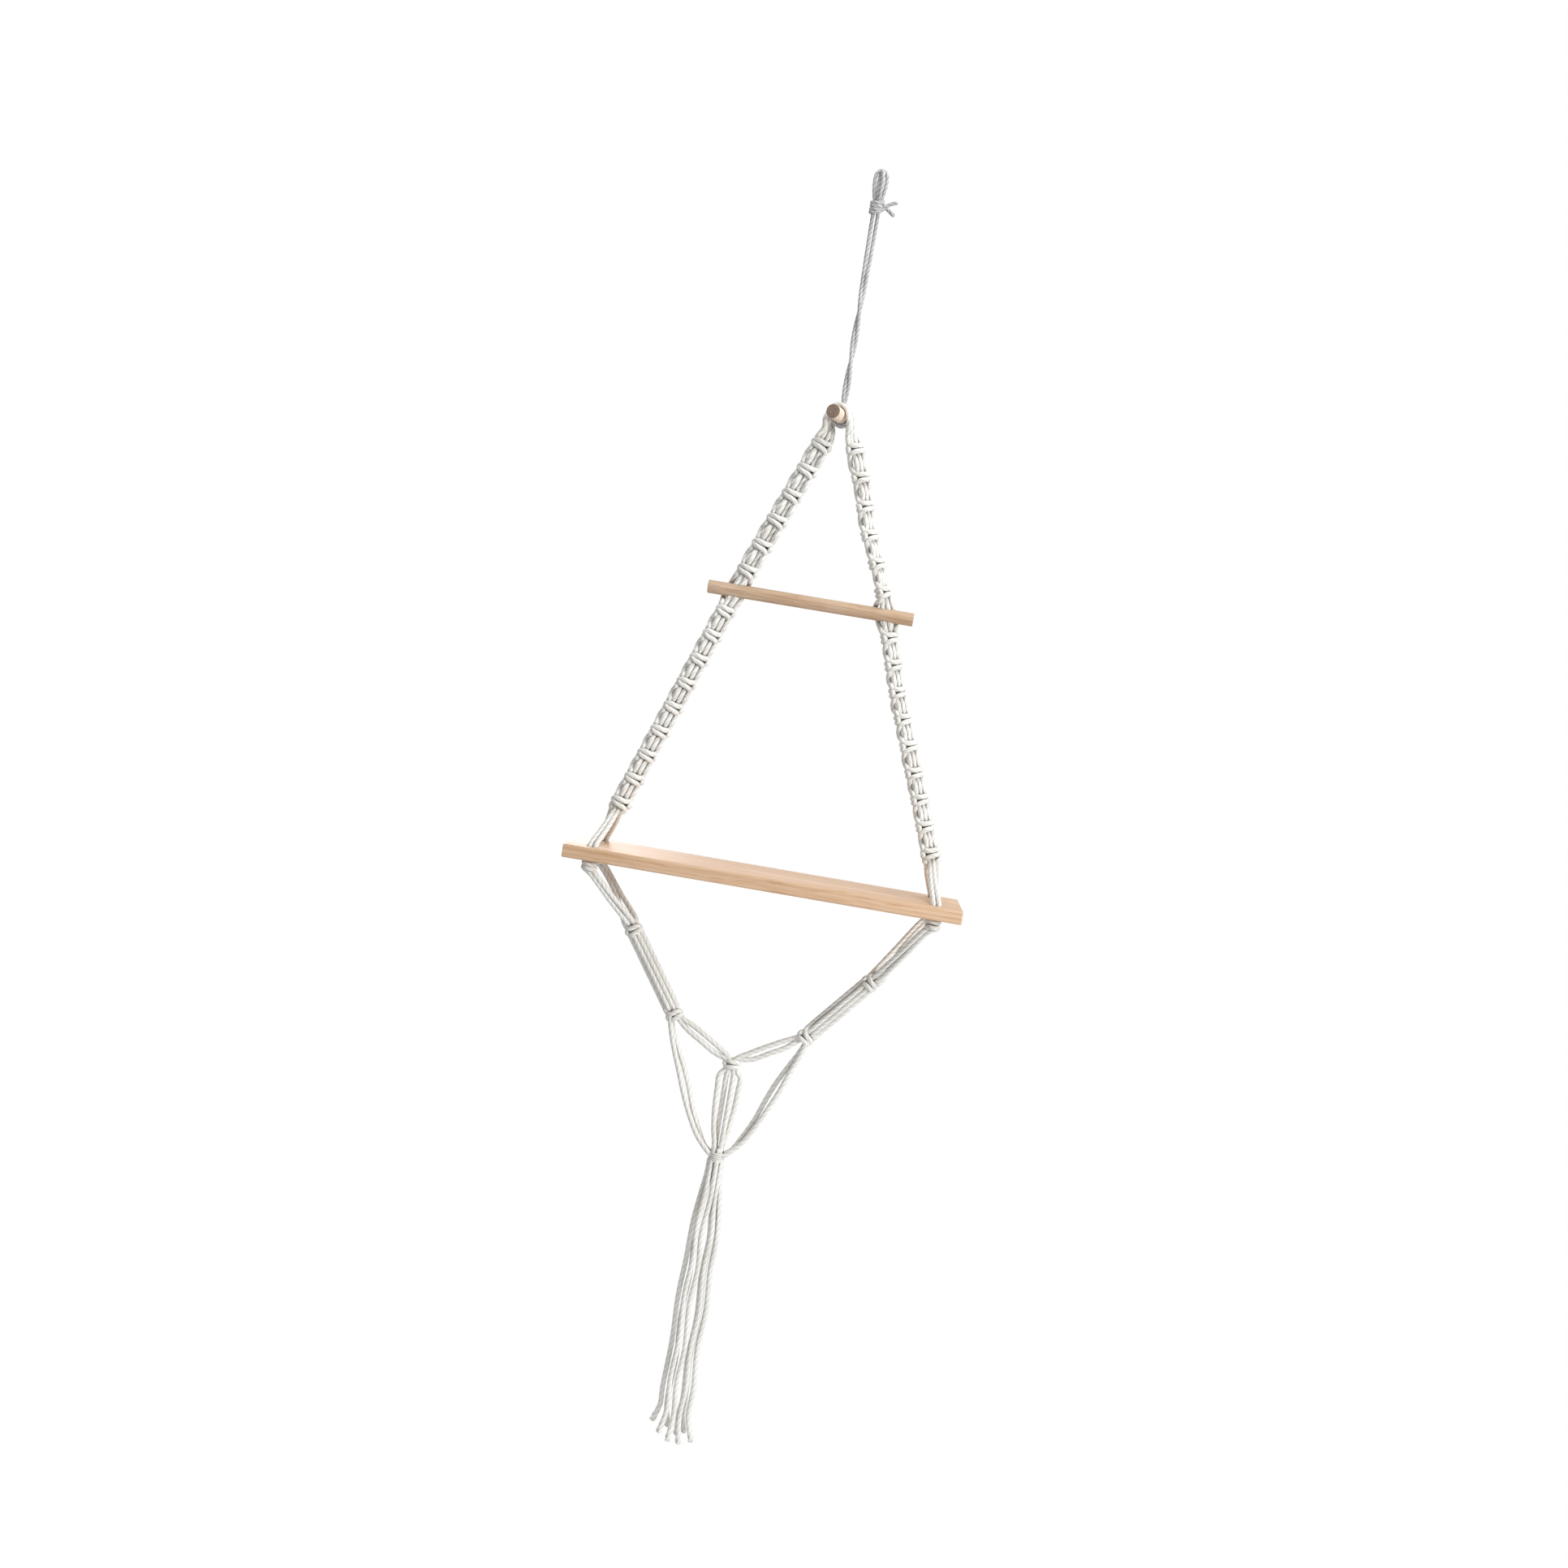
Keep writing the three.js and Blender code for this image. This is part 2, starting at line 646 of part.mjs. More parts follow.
// Routes of the tassel's cords, chosen by hand in the same way
const tasselRoutes = {
  tassel_cord_1: [[-7.3, 0, 5], [-8, 0, 22], [-11, 0, 55], [-12.5, -1, 105], [-12, -2, 165], [-12.5, -1, 230],
    [-15, -1, 290], [-21, -2, 320]],
  tassel_cord_2: [[-4.5, -5.7, 5], [-4.6, -6, 22], [-6.4, -6.6, 55], [-7, -8, 105], [-6.5, -8.6, 165],
    [-6, -8, 230], [-7.5, -7.5, 290], [-10, -9, 329]],
  tassel_cord_3: [[1.6, -7.1, 5], [1.6, -7.4, 22], [0.8, -8, 55], [0, -9, 105], [0.6, -9.6, 165], [1, -9, 230],
    [0.6, -9, 290], [3, -11, 335]],
  tassel_cord_4: [[6.6, -3.2, 5], [6.8, -3.4, 22], [7.6, -5, 55], [7.2, -7, 105], [8, -7, 165], [8, -6, 230],
    [9, -6.5, 290], [13, -8, 339]],
  tassel_cord_5: [[6.6, 3.2, 5], [7.2, 3.2, 22], [10.5, 2, 55], [12.6, 0.6, 105], [13, 0, 165], [12.6, 1, 230],
    [16.5, 1, 290], [26, 1, 338]],
  tassel_cord_6: [[1.6, 7.1, 5], [2, 7.2, 22], [4.6, 7, 55], [6, 6.6, 105], [5.6, 6.6, 165], [6, 7.4, 230],
    [9.6, 7.6, 290], [18, 7, 334]],
  tassel_cord_7: [[-4.5, 5.7, 5], [-4.8, 6, 22], [-5.6, 6.6, 55], [-5.4, 7.4, 105], [-6, 7.4, 165], [-5.4, 8, 230],
    [-6.6, 8, 290], [-6, 8, 328]],
  tassel_cord_8: [[0, 0, 5], [0, 0, 22], [0.4, -0.4, 55], [0.6, -0.9, 105], [0, -1, 165], [0.6, -0.6, 230],
    [1.4, -0.4, 290], [4, -1, 333]],
};

function makeRoutedCords(routes, cutters) {
  for (const [name, points] of Object.entries(routes)) {
    const route = points.map(([x, y, drop]) => vec(x, y, -drop).add(bindingKnot));
    addPart(name, cut(cord(route, cordDia), ...cutters(name)), cotton);
  }
}

// Four cords down from the centre knot to the binding, apart at the top and gathered two by two
function makeCentreCords() {
  const inset = cordPitch / 2 + gap / 2;
  const topDrop = centreKnotDrop + netKnotRadius / 2;
  const span = bindingDrop - topDrop;
  for (let i = 0; i < 4; i += 1) {
    const start = (i - 1.5) * centreStrandPitch;
    const finish = i < 2 ? -inset : inset;
    const back = i % 2 ? inset : -inset;
    const dropShares = [0, 0.25, 0.5, 0.7, 0.86, 1];
    const gatherShares = [0, 0, 0.15, 0.45, 0.85, 1];
    const depthShares = [0, 0.45, 0.95, 1, 1, 1];
    const route = dropShares.map((share, k) => vec(
      netShift + start + (finish - start) * gatherShares[k],
      back * depthShares[k],
      -topDrop - span * share,
    ));
    const trimmed = cut(cord(route, cordDia), netShapes.centre_knot(gap), netShapes.tassel_binding(gap));
    addPart(`centre_cord_${i + 1}`, trimmed, cotton);
  }
}

makeHangingLoop();
makeHangingKnot();
makeHangingStrands();
makeDowel();
makeDowelHitch();
makeSaddle('knotting_saddle_front', -knotterOffset);
makeSaddle('filler_saddle_front', -fillerOffset);
makeSaddle('filler_saddle_back', fillerOffset);
makeSaddle('knotting_saddle_back', knotterOffset);
makeFiller('left_filler_front', -1, -fillerOffset, 1);
makeFiller('left_filler_back', -1, fillerOffset, -1);
makeFiller('right_filler_front', 1, -fillerOffset, -1);
makeFiller('right_filler_back', 1, fillerOffset, 1);
makeKnottedPair('left_knotted_cords', -1);
makeKnottedPair('right_knotted_cords', 1);
makeCrossBar();
makeBoard();
makeNetKnots();
makeUpperArm('left_front_stopper', -1, 'left', -1);
makeUpperArm('left_back_stopper', -1, 'left', 1);
makeUpperArm('right_front_stopper', 1, 'right', -1);
makeUpperArm('right_back_stopper', 1, 'right', 1);
makeArmCords('left');
makeArmCords('right');
makeInnerPair('left');
makeInnerPair('right');
makeRoutedCords(outerPairRoutes, (name) => [
  name.startsWith('left') ? netShapes.left_side_knot(gap) : netShapes.right_side_knot(gap),
  netShapes.tassel_binding(gap),
]);
makeCentreCords();
makeRoutedCords(tasselRoutes, () => [netShapes.tassel_binding(gap)]);

export default shelf;
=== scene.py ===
import math

import bpy
from mathutils import Matrix, Vector


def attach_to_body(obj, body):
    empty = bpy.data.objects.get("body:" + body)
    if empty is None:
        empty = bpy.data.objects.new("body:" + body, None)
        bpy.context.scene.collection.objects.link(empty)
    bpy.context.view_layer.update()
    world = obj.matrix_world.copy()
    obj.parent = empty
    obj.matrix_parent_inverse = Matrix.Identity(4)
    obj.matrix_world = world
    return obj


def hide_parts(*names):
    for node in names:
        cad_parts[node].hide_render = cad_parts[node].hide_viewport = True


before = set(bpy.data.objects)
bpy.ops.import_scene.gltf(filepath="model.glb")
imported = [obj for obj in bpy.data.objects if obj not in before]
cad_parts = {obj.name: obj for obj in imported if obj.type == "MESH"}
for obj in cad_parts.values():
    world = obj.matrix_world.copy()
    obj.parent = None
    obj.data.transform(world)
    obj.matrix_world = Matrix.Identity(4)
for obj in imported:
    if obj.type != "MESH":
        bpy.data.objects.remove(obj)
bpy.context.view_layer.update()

print("Camera")

cameraView = {
    "place": (0.077, -1.986, -0.581), "yaw": 2.1, "pitch": 3.2, "roll": 9.49,
    "focalPixels": 2156, "imagePixels": 1932, "sensorWidth": 36,
}


def addObject(name, data):
    item = bpy.data.objects.new(name, data)
    bpy.context.scene.collection.objects.link(item)
    return item


def placeCamera(view):
    yaw, pitch, roll = (math.radians(view[name]) for name in ("yaw", "pitch", "roll"))
    right = Vector((math.cos(yaw), math.sin(yaw), 0))
    ahead = Vector((-math.sin(yaw), math.cos(yaw), 0))
    above = Vector((0, 0, 1))
    aheadDown = ahead * math.cos(pitch) - above * math.sin(pitch)
    aboveTilted = above * math.cos(pitch) + ahead * math.sin(pitch)
    rightRolled = right * math.cos(roll) + aboveTilted * math.sin(roll)
    aboveRolled = aboveTilted * math.cos(roll) - right * math.sin(roll)
    cameraData = bpy.data.cameras.new("shelfCamera")
    cameraData.sensor_width = view["sensorWidth"]
    cameraData.lens = view["focalPixels"] / view["imagePixels"] * view["sensorWidth"]
    camera = addObject("shelfCamera", cameraData)
    turn = Matrix((rightRolled, aboveRolled, -aheadDown)).transposed().to_4x4()
    camera.matrix_world = Matrix.Translation(view["place"]) @ turn
    bpy.context.scene.camera = camera


placeCamera(cameraView)

print("Cotton")

white = (255, 255, 255)


def linear(colour):
    shares = [v / 255 for v in colour]
    return [v / 12.92 if v <= 0.04 else ((v + 0.055) / 1.055) ** 2.4 for v in shares] + [1.0]


class Nodes:
    def __init__(self, name):
        self.material = bpy.data.materials.new(name)
        self.material.use_nodes = True
        self.tree = self.material.node_tree
        self.shader = self.tree.nodes["Principled BSDF"]

    def add(self, kind, **settings):
        node = self.tree.nodes.new(kind)
        for key, value in settings.items():
            setattr(node, key, value)
        return node

    def link(self, source, target):
        self.tree.links.new(source, target)

    def feed(self, socket, value):
        if isinstance(value, (int, float)):
            socket.default_value = value
        else:
            self.link(value, socket)

    def math(self, operation, *values):
        node = self.add("ShaderNodeMath", operation=operation)
        for socket, value in zip(node.inputs, values):
            self.feed(socket, value)
        return node.outputs[0]

    def ramp(self, factor, stops):
        node = self.add("ShaderNodeValToRGB")
        ramp = node.color_ramp
        while len(ramp.elements) < len(stops):
            ramp.elements.new(0.5)
        for element, (place, colour) in zip(ramp.elements, stops):
            element.position = place
            element.color = linear(colour)
        self.link(factor, node.inputs["Fac"])
        return node.outputs["Color"]

    def mix(self, kind, factor, first, second):
        node = self.add("ShaderNodeMix", data_type="RGBA", blend_type=kind)
        for index, value in ((0, factor), (6, first), (7, second)):  # the colour pair of this node
            self.feed(node.inputs[index], value)
        return node.outputs[2]

    def noise(self, vector, scale, detail=3.0, roughness=0.5, distortion=0.0):
        node = self.add("ShaderNodeTexNoise")
        node.inputs["Scale"].default_value = scale
        node.inputs["Detail"].default_value = detail
        node.inputs["Roughness"].default_value = roughness
        node.inputs["Distortion"].default_value = distortion
        self.link(vector, node.inputs["Vector"])
        return node.outputs["Fac"]

    def bump(self, height, distance, strength=1.0, normal=None):
        node = self.add("ShaderNodeBump")
        node.inputs["Strength"].default_value = strength
        node.inputs["Distance"].default_value = distance
        self.link(height, node.inputs["Height"])
        if normal is not None:
            self.link(normal, node.inputs["Normal"])
        return node.outputs["Normal"]

    def objectPlace(self):
        return self.add("ShaderNodeTexCoord").outputs["Object"]

    def stretched(self, scale, turn):
        node = self.add("ShaderNodeMapping")
        node.inputs["Scale"].default_value = scale
        node.inputs["Rotation"].default_value = (0, 0, turn)
        self.link(self.objectPlace(), node.inputs["Vector"])
        return node.outputs["Vector"]

    def finish(self, colour, normal, rough, settings):
        for name, value in (("Base Color", colour), ("Normal", normal), ("Roughness", rough)):
            self.link(value, self.shader.inputs[name])
        for name, value in settings.items():
            self.shader.inputs[name].default_value = value
        return self.material


def twistedCotton(name, look):
    nodes = Nodes(name)
    route = nodes.add("ShaderNodeSeparateXYZ")
    nodes.link(nodes.add("ShaderNodeUVMap", uv_map="rope").outputs["UV"], route.inputs[0])
    around, along = route.outputs[0], route.outputs[1]
    # three strands: 1 on their crests, 0 in the grooves between them, where shade is painted in
    crest = nodes.math("MULTIPLY_ADD", nodes.math("COSINE", nodes.math("MULTIPLY", around, 6 * math.pi)), 0.5, 0.5)
    # yarns of each strand, which run along the rope
    yarnPlace = nodes.math("ADD", around, nodes.math("MULTIPLY", along, look["yarnSlope"]))
    yarnTurn = nodes.math("MULTIPLY", yarnPlace, 2 * math.pi * look["yarns"])
    soft = nodes.noise(nodes.objectPlace(), look["softScale"], 4.0, 0.6)
    wander = nodes.math("MULTIPLY_ADD", soft, look["yarnWander"], yarnTurn)
    yarn = nodes.math("MULTIPLY_ADD", nodes.math("SINE", wander), 0.5, 0.5)
    patches = nodes.noise(nodes.objectPlace(), look["patchScale"], 2.0, 0.5)
    fuzz = nodes.noise(nodes.objectPlace(), look["fuzzScale"], 2.0, 0.7)
    # painted shade: the colour darkens from each strand's crest into the groove between strands
    body = nodes.ramp(crest, [(0.0, look["paintedGrooveShade"]), (0.3, look["middle"]), (0.75, look["crest"])])
    worn = nodes.ramp(patches, [(0.3, look["patch"]), (0.62, white)])
    colour = nodes.mix("MULTIPLY", 1.0, body, worn)
    streak = nodes.ramp(yarn, [(0.0, look["streak"]), (0.5, white)])
    colour = nodes.mix("MULTIPLY", look["streakShare"], colour, streak)
    # painted shade: the colour darkens where cords lie close together, in the creases between them
    paintedCreaseShade = nodes.add("ShaderNodeAmbientOcclusion", samples=8)
    paintedCreaseShade.inputs["Distance"].default_value = look["paintedCreaseReach"]
    paintedCreaseTone = nodes.ramp(paintedCreaseShade.outputs["AO"], [(0.12, look["paintedCreaseShade"]), (0.62, white)])
    colour = nodes.mix("MULTIPLY", 1.0, colour, paintedCreaseTone)
    normal = nodes.bump(yarn, look["yarnHeight"], 0.7)
    normal = nodes.bump(fuzz, look["fuzzHeight"], 0.4, normal)
    rough = nodes.math("MULTIPLY_ADD", fuzz, look["roughSpread"], look["roughness"])
    return nodes.finish(colour, normal, rough, {
        "Specular IOR Level": 0.25, "Sheen Weight": look["sheen"], "Sheen Roughness": 0.45})


cottonFibre = {
    "yarnSlope": 0.9, "yarnWander": 5.0, "fuzzScale": 1800, "fuzzHeight": 0.00006,
    "roughness": 0.82, "roughSpread": 0.12}
naturalCotton = twistedCotton("naturalCotton", {
    **cottonFibre,
    "paintedGrooveShade": (226, 224, 219), "middle": (242, 241, 237), "crest": (248, 247, 244), "patch": (242, 241, 238),
    "streak": (231, 229, 225), "streakShare": 0.5, "yarns": 16, "yarnHeight": 0.00008,
    "softScale": 220, "patchScale": 24, "paintedCreaseReach": 0.0055, "paintedCreaseShade": (160, 158, 153), "sheen": 0.25,
})
greyCotton = twistedCotton("greyCotton", {
    **cottonFibre,
    "paintedGrooveShade": (172, 172, 173), "middle": (206, 207, 208), "crest": (224, 224, 225), "patch": (224, 224, 226),
    "streak": (190, 190, 192), "streakShare": 0.6, "yarns": 12, "yarnHeight": 0.00007,
    "softScale": 300, "patchScale": 40, "paintedCreaseReach": 0.006, "paintedCreaseShade": (214, 214, 215), "sheen": 0.2,
})

print("Free cords")

# shares of the rope's radius, but for the ring step and the lay, which are shares of its diameter,
# and the sample step and the fray length, in mm
ropeMake = {
    "sides": 18, "stepShare": 1.6 / 6, "layShare": 4.2, "sampleStep": 0.4,
    "lobeOut": 0.075, "lobeRadius": 0.925, "frayOut": 0.7, "frayRadius": 0.62, "frayLength": 16,
    "capShares": [(0.62, 0.42), (0.38, 0.78), (0.116, 0.93)],  # how far past the end, and how thick
    "turnSteps": {"free": 0.9, "main": 1.3, "net": 0.7},  # so that no two ropes show the same lay
}


def smoothRoute(points, step):
    spots = [Vector(p) for p in points]
    spots = [spots[0] * 2 - spots[1]] + spots + [spots[-1] * 2 - spots[-2]]
    fine = [spots[1].copy()]
    for before, start, end, after in zip(spots, spots[1:], spots[2:], spots[3:]):
        spanBefore = max((start - before).length, 1e-6) ** 0.5
        span = max((end - start).length, 1e-6) ** 0.5
        spanAfter = max((after - end).length, 1e-6) ** 0.5
        leave = (start - before) / spanBefore - (end - before) / (spanBefore + span) + (end - start) / span
        arrive = (end - start) / span - (after - start) / (span + spanAfter) + (after - end) / spanAfter
        leave *= span
        arrive *= span
        count = max(2, math.ceil((end - start).length / ropeMake["sampleStep"]))
        for i in range(1, count + 1):
            t = i / count
            fine.append(
                start * (2 * t ** 3 - 3 * t ** 2 + 1) + leave * (t ** 3 - 2 * t ** 2 + t)
                + end * (3 * t ** 2 - 2 * t ** 3) + arrive * (t ** 3 - t ** 2))
    lengths = [0.0]
    for a, b in zip(fine, fine[1:]):
        lengths.append(lengths[-1] + (b - a).length)
    rings = max(3, round(lengths[-1] / step))
    even, k = [], 0
    for i in range(rings + 1):
        target = lengths[-1] * i / rings
        while k < len(lengths) - 2 and lengths[k + 1] < target:
            k += 1
        share = (target - lengths[k]) / max(lengths[k + 1] - lengths[k], 1e-9)
        even.append(fine[k].lerp(fine[k + 1], min(1, share)))
    return even, lengths[-1]


def lobeReach(turn, parted):
    # parted: 0 for a closed lay, towards 1 where the three strands part at a frayed end
    out = ropeMake["lobeOut"] + (ropeMake["frayOut"] - ropeMake["lobeOut"]) * parted
    radius = ropeMake["lobeRadius"] + (ropeMake["frayRadius"] - ropeMake["lobeRadius"]) * parted
    near = (turn + math.pi / 3) % (2 * math.pi / 3) - math.pi / 3
    return out * math.cos(near) + math.sqrt(radius ** 2 - (out * math.sin(near)) ** 2)


def capRows(ring, sign):
    # rounds off one end of a rope
    spot, ahead, side, far, size = ring
    return [
        (spot + ahead * (sign * size * past), ahead, side, far, size * thick)
        for past, thick in ropeMake["capShares"]]


def makeRope(name, points, diameter, material, startTurn=0.0, frayed=False):
    radius = diameter / 2
    sides = ropeMake["sides"]
    spots, length = smoothRoute(points, ropeMake["stepShare"] * diameter)
    lay = ropeMake["layShare"] * diameter
    heading = (spots[1] - spots[0]).normalized()
    side = heading.orthogonal().normalized()
    rings = []
    for i, spot in enumerate(spots):
        ahead = (spots[min(i + 1, len(spots) - 1)] - spots[max(i - 1, 0)]).normalized()
        side = (heading.rotation_difference(ahead) @ side).normalized()
        side = (side - ahead * side.dot(ahead)).normalized()
        heading = ahead
        rings.append((spot, ahead, side, length * i / (len(spots) - 1), radius))
    rows = capRows(rings[0], -1) + rings + capRows(rings[-1], 1)[::-1]
    verts, marks = [], []
    for spot, ahead, side, far, size in rows:
        other = ahead.cross(side)
        parted = max(0, 1 - (length - far) / ropeMake["frayLength"]) ** 1.5 if frayed else 0
        for k in range(sides):
            turn = 2 * math.pi * k / sides
            angle = turn + startTurn + 2 * math.pi * far / lay
            reach = size * lobeReach(turn, parted)
            verts.append((spot + side * (reach * math.cos(angle)) + other * (reach * math.sin(angle))) / 1000)
        marks.append(far / (2 * math.pi * radius))
    faces, uvs = [], []
    for row in range(len(rows) - 1):
        for k in range(sides):
            a, b = row * sides + k, row * sides + (k + 1) % sides
            faces.append((a, b, b + sides, a + sides))
            u, v = (k / sides, (k + 1) / sides), (marks[row], marks[row + 1])
            uvs += [(u[0], v[0]), (u[1], v[0]), (u[1], v[1]), (u[0], v[1])]
    for row, flip in ((0, True), (len(rows) - 1, False)):
        ring = [row * sides + k for k in range(sides)]
        faces.append(tuple(reversed(ring)) if flip else tuple(ring))
        corners = [(k / sides, marks[row]) for k in range(sides)]
        uvs += list(reversed(corners)) if flip else corners
    mesh = bpy.data.meshes.new(name)
    mesh.from_pydata([tuple(v) for v in verts], [], faces)
    layer = mesh.uv_layers.new(name="rope")
    layer.data.foreach_set("uv", [value for pair in uvs for value in pair])
    mesh.polygons.foreach_set("use_smooth", [True] * len(mesh.polygons))
    mesh.materials.append(material)
    mesh.update()
    return addObject(name, mesh), spots, length


def attach(piece, body, nodes):
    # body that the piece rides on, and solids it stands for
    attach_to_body(piece, body)
    if nodes:
        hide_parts(*nodes)


cordDiameter = 6
bindingCentre = Vector((-2, 0, -1128))
# Free cords of the net and the tassel: side, depth and drop, from the binding's centre
freeCords = {
    "left_outer_cord_front": [
        (-79, -3.4, -152), (-74, -3.4, -133), (-68, -3.4, -115), (-59, -3.4, -92), (-49, -3.4, -66),
        (-38, -3.4, -42), (-26, -3.4, -21), (-17, -3.4, -10.5), (-7.5, -3.4, -1.5)],
    "left_outer_cord_back": [
        (-79, 3.4, -152), (-73, 3.4, -134), (-65, 3.4, -117), (-54, 3.4, -95), (-44, 3.4, -71),
        (-35, 3.4, -46), (-24, 3.4, -23), (-17, 3.4, -10.5), (-7.5, 3.4, -1.5)],
    "right_outer_cord_front": [
        (82, -3.4, -152), (75, -3.4, -131), (67, -3.4, -110), (59, -3.4, -87), (49, -3.4, -64),
        (38, -3.4, -41), (26, -3.4, -20), (17, -3.4, -10.5), (7.5, -3.4, -1.5)],
    "right_outer_cord_back": [
        (82, 3.4, -152), (74, 3.4, -134), (64, 3.4, -115), (53, 3.4, -93), (44, 3.4, -70),
        (35, 3.4, -45), (24, 3.4, -23), (17, 3.4, -10.5), (7.5, 3.4, -1.5)],
    "tassel_cord_1": [
        (-7.3, 0, 5), (-7.8, 1.6, 22), (-10.6, 3.0, 45), (-14.2, 3.6, 80), (-15.2, 3.4, 125), (-17.2, 3.0, 170),
        (-15.8, 3.6, 225), (-17.6, 2.6, 280), (-17.2, 2.0, 300), (-23, -1, 318)],
    "tassel_cord_2": [
        (-4.5, -5.7, 5), (-4.6, -6.2, 22), (-5.8, -8.2, 45), (-8.6, -9.4, 80), (-7.0, -9.8, 120), (-9.6, -9.0, 165),
        (-7.4, -9.9, 215), (-9.8, -8.8, 262), (-8.2, -9, 302), (-13, -10, 327)],
    "tassel_cord_3": [
        (1.6, -7.1, 5), (1.8, -7.3, 22), (1.4, -7.9, 50), (-1.8, -8.2, 90), (0.6, -7.8, 130), (-2.2, -8.2, 175),
        (0.8, -8.2, 225), (-1.8, -7.8, 270), (0.6, -8, 306), (-1.5, -10, 335)],
    "tassel_cord_4": [
        (6.6, -3.2, 5), (6.6, -3.2, 22), (6.4, -3.8, 50), (9.2, -4.0, 92), (7.2, -4.4, 135), (10.0, -3.6, 185),
        (7.4, -4.4, 232), (9.6, -3.8, 275), (7.6, -4.8, 308), (11, -6, 338)],
    "tassel_cord_5": [
        (6.6, 3.2, 5), (7.6, 3.0, 22), (11.0, 1.6, 50), (15.6, 0.6, 92), (14.8, 0.6, 135), (17.4, 0.2, 180),
        (15.0, 0.9, 228), (18.2, 0.3, 275), (17.4, 0.8, 308), (25, 1, 336)],
    "tassel_cord_6": [
        (1.6, 7.1, 5), (2, 7.2, 22), (4.8, 7.6, 50), (9.2, 8.6, 95), (7.8, 8.6, 140), (10.4, 8.6, 190),
        (8.0, 8.6, 240), (10.8, 8.4, 285), (10.6, 8.4, 308), (15, 8, 330)],
    "tassel_cord_7": [
        (-4.5, 5.7, 5), (-4.9, 6, 22), (-6.4, 7.0, 50), (-10.0, 8.2, 95), (-8.2, 8.6, 140), (-10.4, 8.4, 195),
        (-8.2, 9.2, 245), (-10.2, 8.6, 290), (-9.2, 8.2, 306), (-5, 8, 326)],
    "tassel_cord_8": [
        (0, 0, 5), (0.2, 0, 22), (2.6, 0.9, 50), (7.2, 2.4, 95), (5.4, 2.4, 140), (8.0, 2.6, 190),
        (5.6, 2.4, 240), (7.8, 2.4, 290), (6.2, 2.0, 306), (7, 1, 331)],
}

for turnIndex, (name, places) in enumerate(freeCords.items()):
    isTassel = name.startswith("tassel")
    route = [bindingCentre + Vector((x, y, -drop)) for x, y, drop in places]
    piece, spots, length = makeRope(
        name + "_rope", route, cordDiameter, naturalCotton, turnIndex * ropeMake["turnSteps"]["free"], isTassel)
    attach(piece, "tassel" if isTassel else "net", [name])

print("Main ropes")

legShape = {
    "boardDrop": 795, "boardThickness": 15, "barDrop": 485, "dowelDrop": 274, "dowelTurn": math.radians(15),
    "holeSide": 195, "holeDepth": 40, "saddleRadius": 11.3, "saddleSteps": 8, "footRise": 45,
    "firstKnotDrop": 38, "barKnotReach": 26, "knotHeight": 14, "knotPitch": 32,
    "fillerAcross": 3.15, "knotterAcross": 9.6, "fillerOffset": 7.45, "knotterOffset": 13.75, "hitchClear": 9.4,
    "fillerStart": 25, "knotterStart": 20, "knotterShift": 0.9, "knotterGather": 0.72, "fillerGather": 0.92,
    "fillerHold": 4, "barHold": 8, "barClear": 11.1, "slackHalf": 2.6, "fillerSink": 0.9,
    "leftEdgeShare": 0.86, "footGather": 0.66,
    # outwards and up, from the leg to its hole
    "footShares": ((0.3, 0.66), (0.62, 0.36), (0.86, 0.16), (1, 0)),
    # across and depth of each cord midway between two knots, above and below the bar:
    # outer knotter, outer filler, inner filler and inner knotter
    "slack": {
        -1: (
            ((9.3, 3.2), (2.6, -4.2), (-3.3, 1.4), (-9.6, -1.4)),
            ((8.4, 1.8), (2.4, -4.8), (-2.6, -1.4), (-8.4, 2.8))),
        1: (
            ((5.8, 7.2), (2.8, 1.6), (-1.2, -3.2), (-7.4, 1.4)),
            ((7.0, 6.0), (3.0, 1.2), (-1.8, -2.8), (-7.8, 0.6))),
    },
    # turn of each leg about its own line, in degrees, at reaches below the dowel
    "twist": {
        -1: [(18, -40), (42, -12), (205, -8), (222, 0), (236, 0), (253, -32), (485, -30), (515, 0)],
        1: [
            (18, 50), (42, 26), (90, 32), (140, 46), (205, 58), (222, 0), (236, 0), (253, 46), (340, 44), (400, 36),
            (485, 36), (515, 10)],
    },
    # how wide the slack cords of each leg stand
    "spread": {
        -1: [(20, 1.0), (515, 1.0)],
        1: [(30, 1.14), (90, 1.0), (205, 0.66), (253, 0.86), (340, 1.0), (515, 0.9)],
    },
    # how far each leg hangs out of its straight line
    "sway": {
        -1: [(20, -5.6), (228, 0.0), (515, 0.0)],
        1: [
            (12, -3.0), (40, -2.6), (84, -1.4), (124, -3.0), (180, 0.6), (208, 2.0), (228, 0.0), (315, -1.6),
            (385, 0.6), (450, 2.8), (515, 4.0)],
    },
}
# the straight line of a leg: it leaves the dowel as a tangent and aims at the board's holes
legFall = legShape["boardDrop"] - legShape["dowelDrop"]
wholeReach = math.hypot(legShape["holeSide"], legFall)
legLean = math.atan2(legShape["holeSide"], legFall) - math.asin(legShape["saddleRadius"] / wholeReach)
leanSin, leanCos = math.sin(legLean), math.cos(legLean)
saddleLean = math.atan2(leanSin * math.cos(legShape["dowelTurn"]), leanCos)
legTopDrop = legShape["dowelDrop"] - legShape["saddleRadius"] * leanSin
barReach = (legShape["barDrop"] - legTopDrop) / leanCos
legEnd = (legShape["boardDrop"] - legShape["footRise"] - legTopDrop) / leanCos
boardUnder = -legShape["boardDrop"] - legShape["boardThickness"]
touchGap = 0.3


def legPoint(side, reach, across, back):
    out = legShape["saddleRadius"] * leanCos + reach * leanSin + across * leanCos
    drop = legTopDrop + reach * leanCos - across * leanSin
    return Vector((side * out, back, -drop))


def between(stops, place):
    if place <= stops[0][0]:
        return stops[0][1]
    for (start, a), (end, b) in zip(stops, stops[1:]):
        if place <= end:
            t = (place - start) / (end - start)
            return a + (b - a) * t * t * (3 - 2 * t)
    return stops[-1][1]


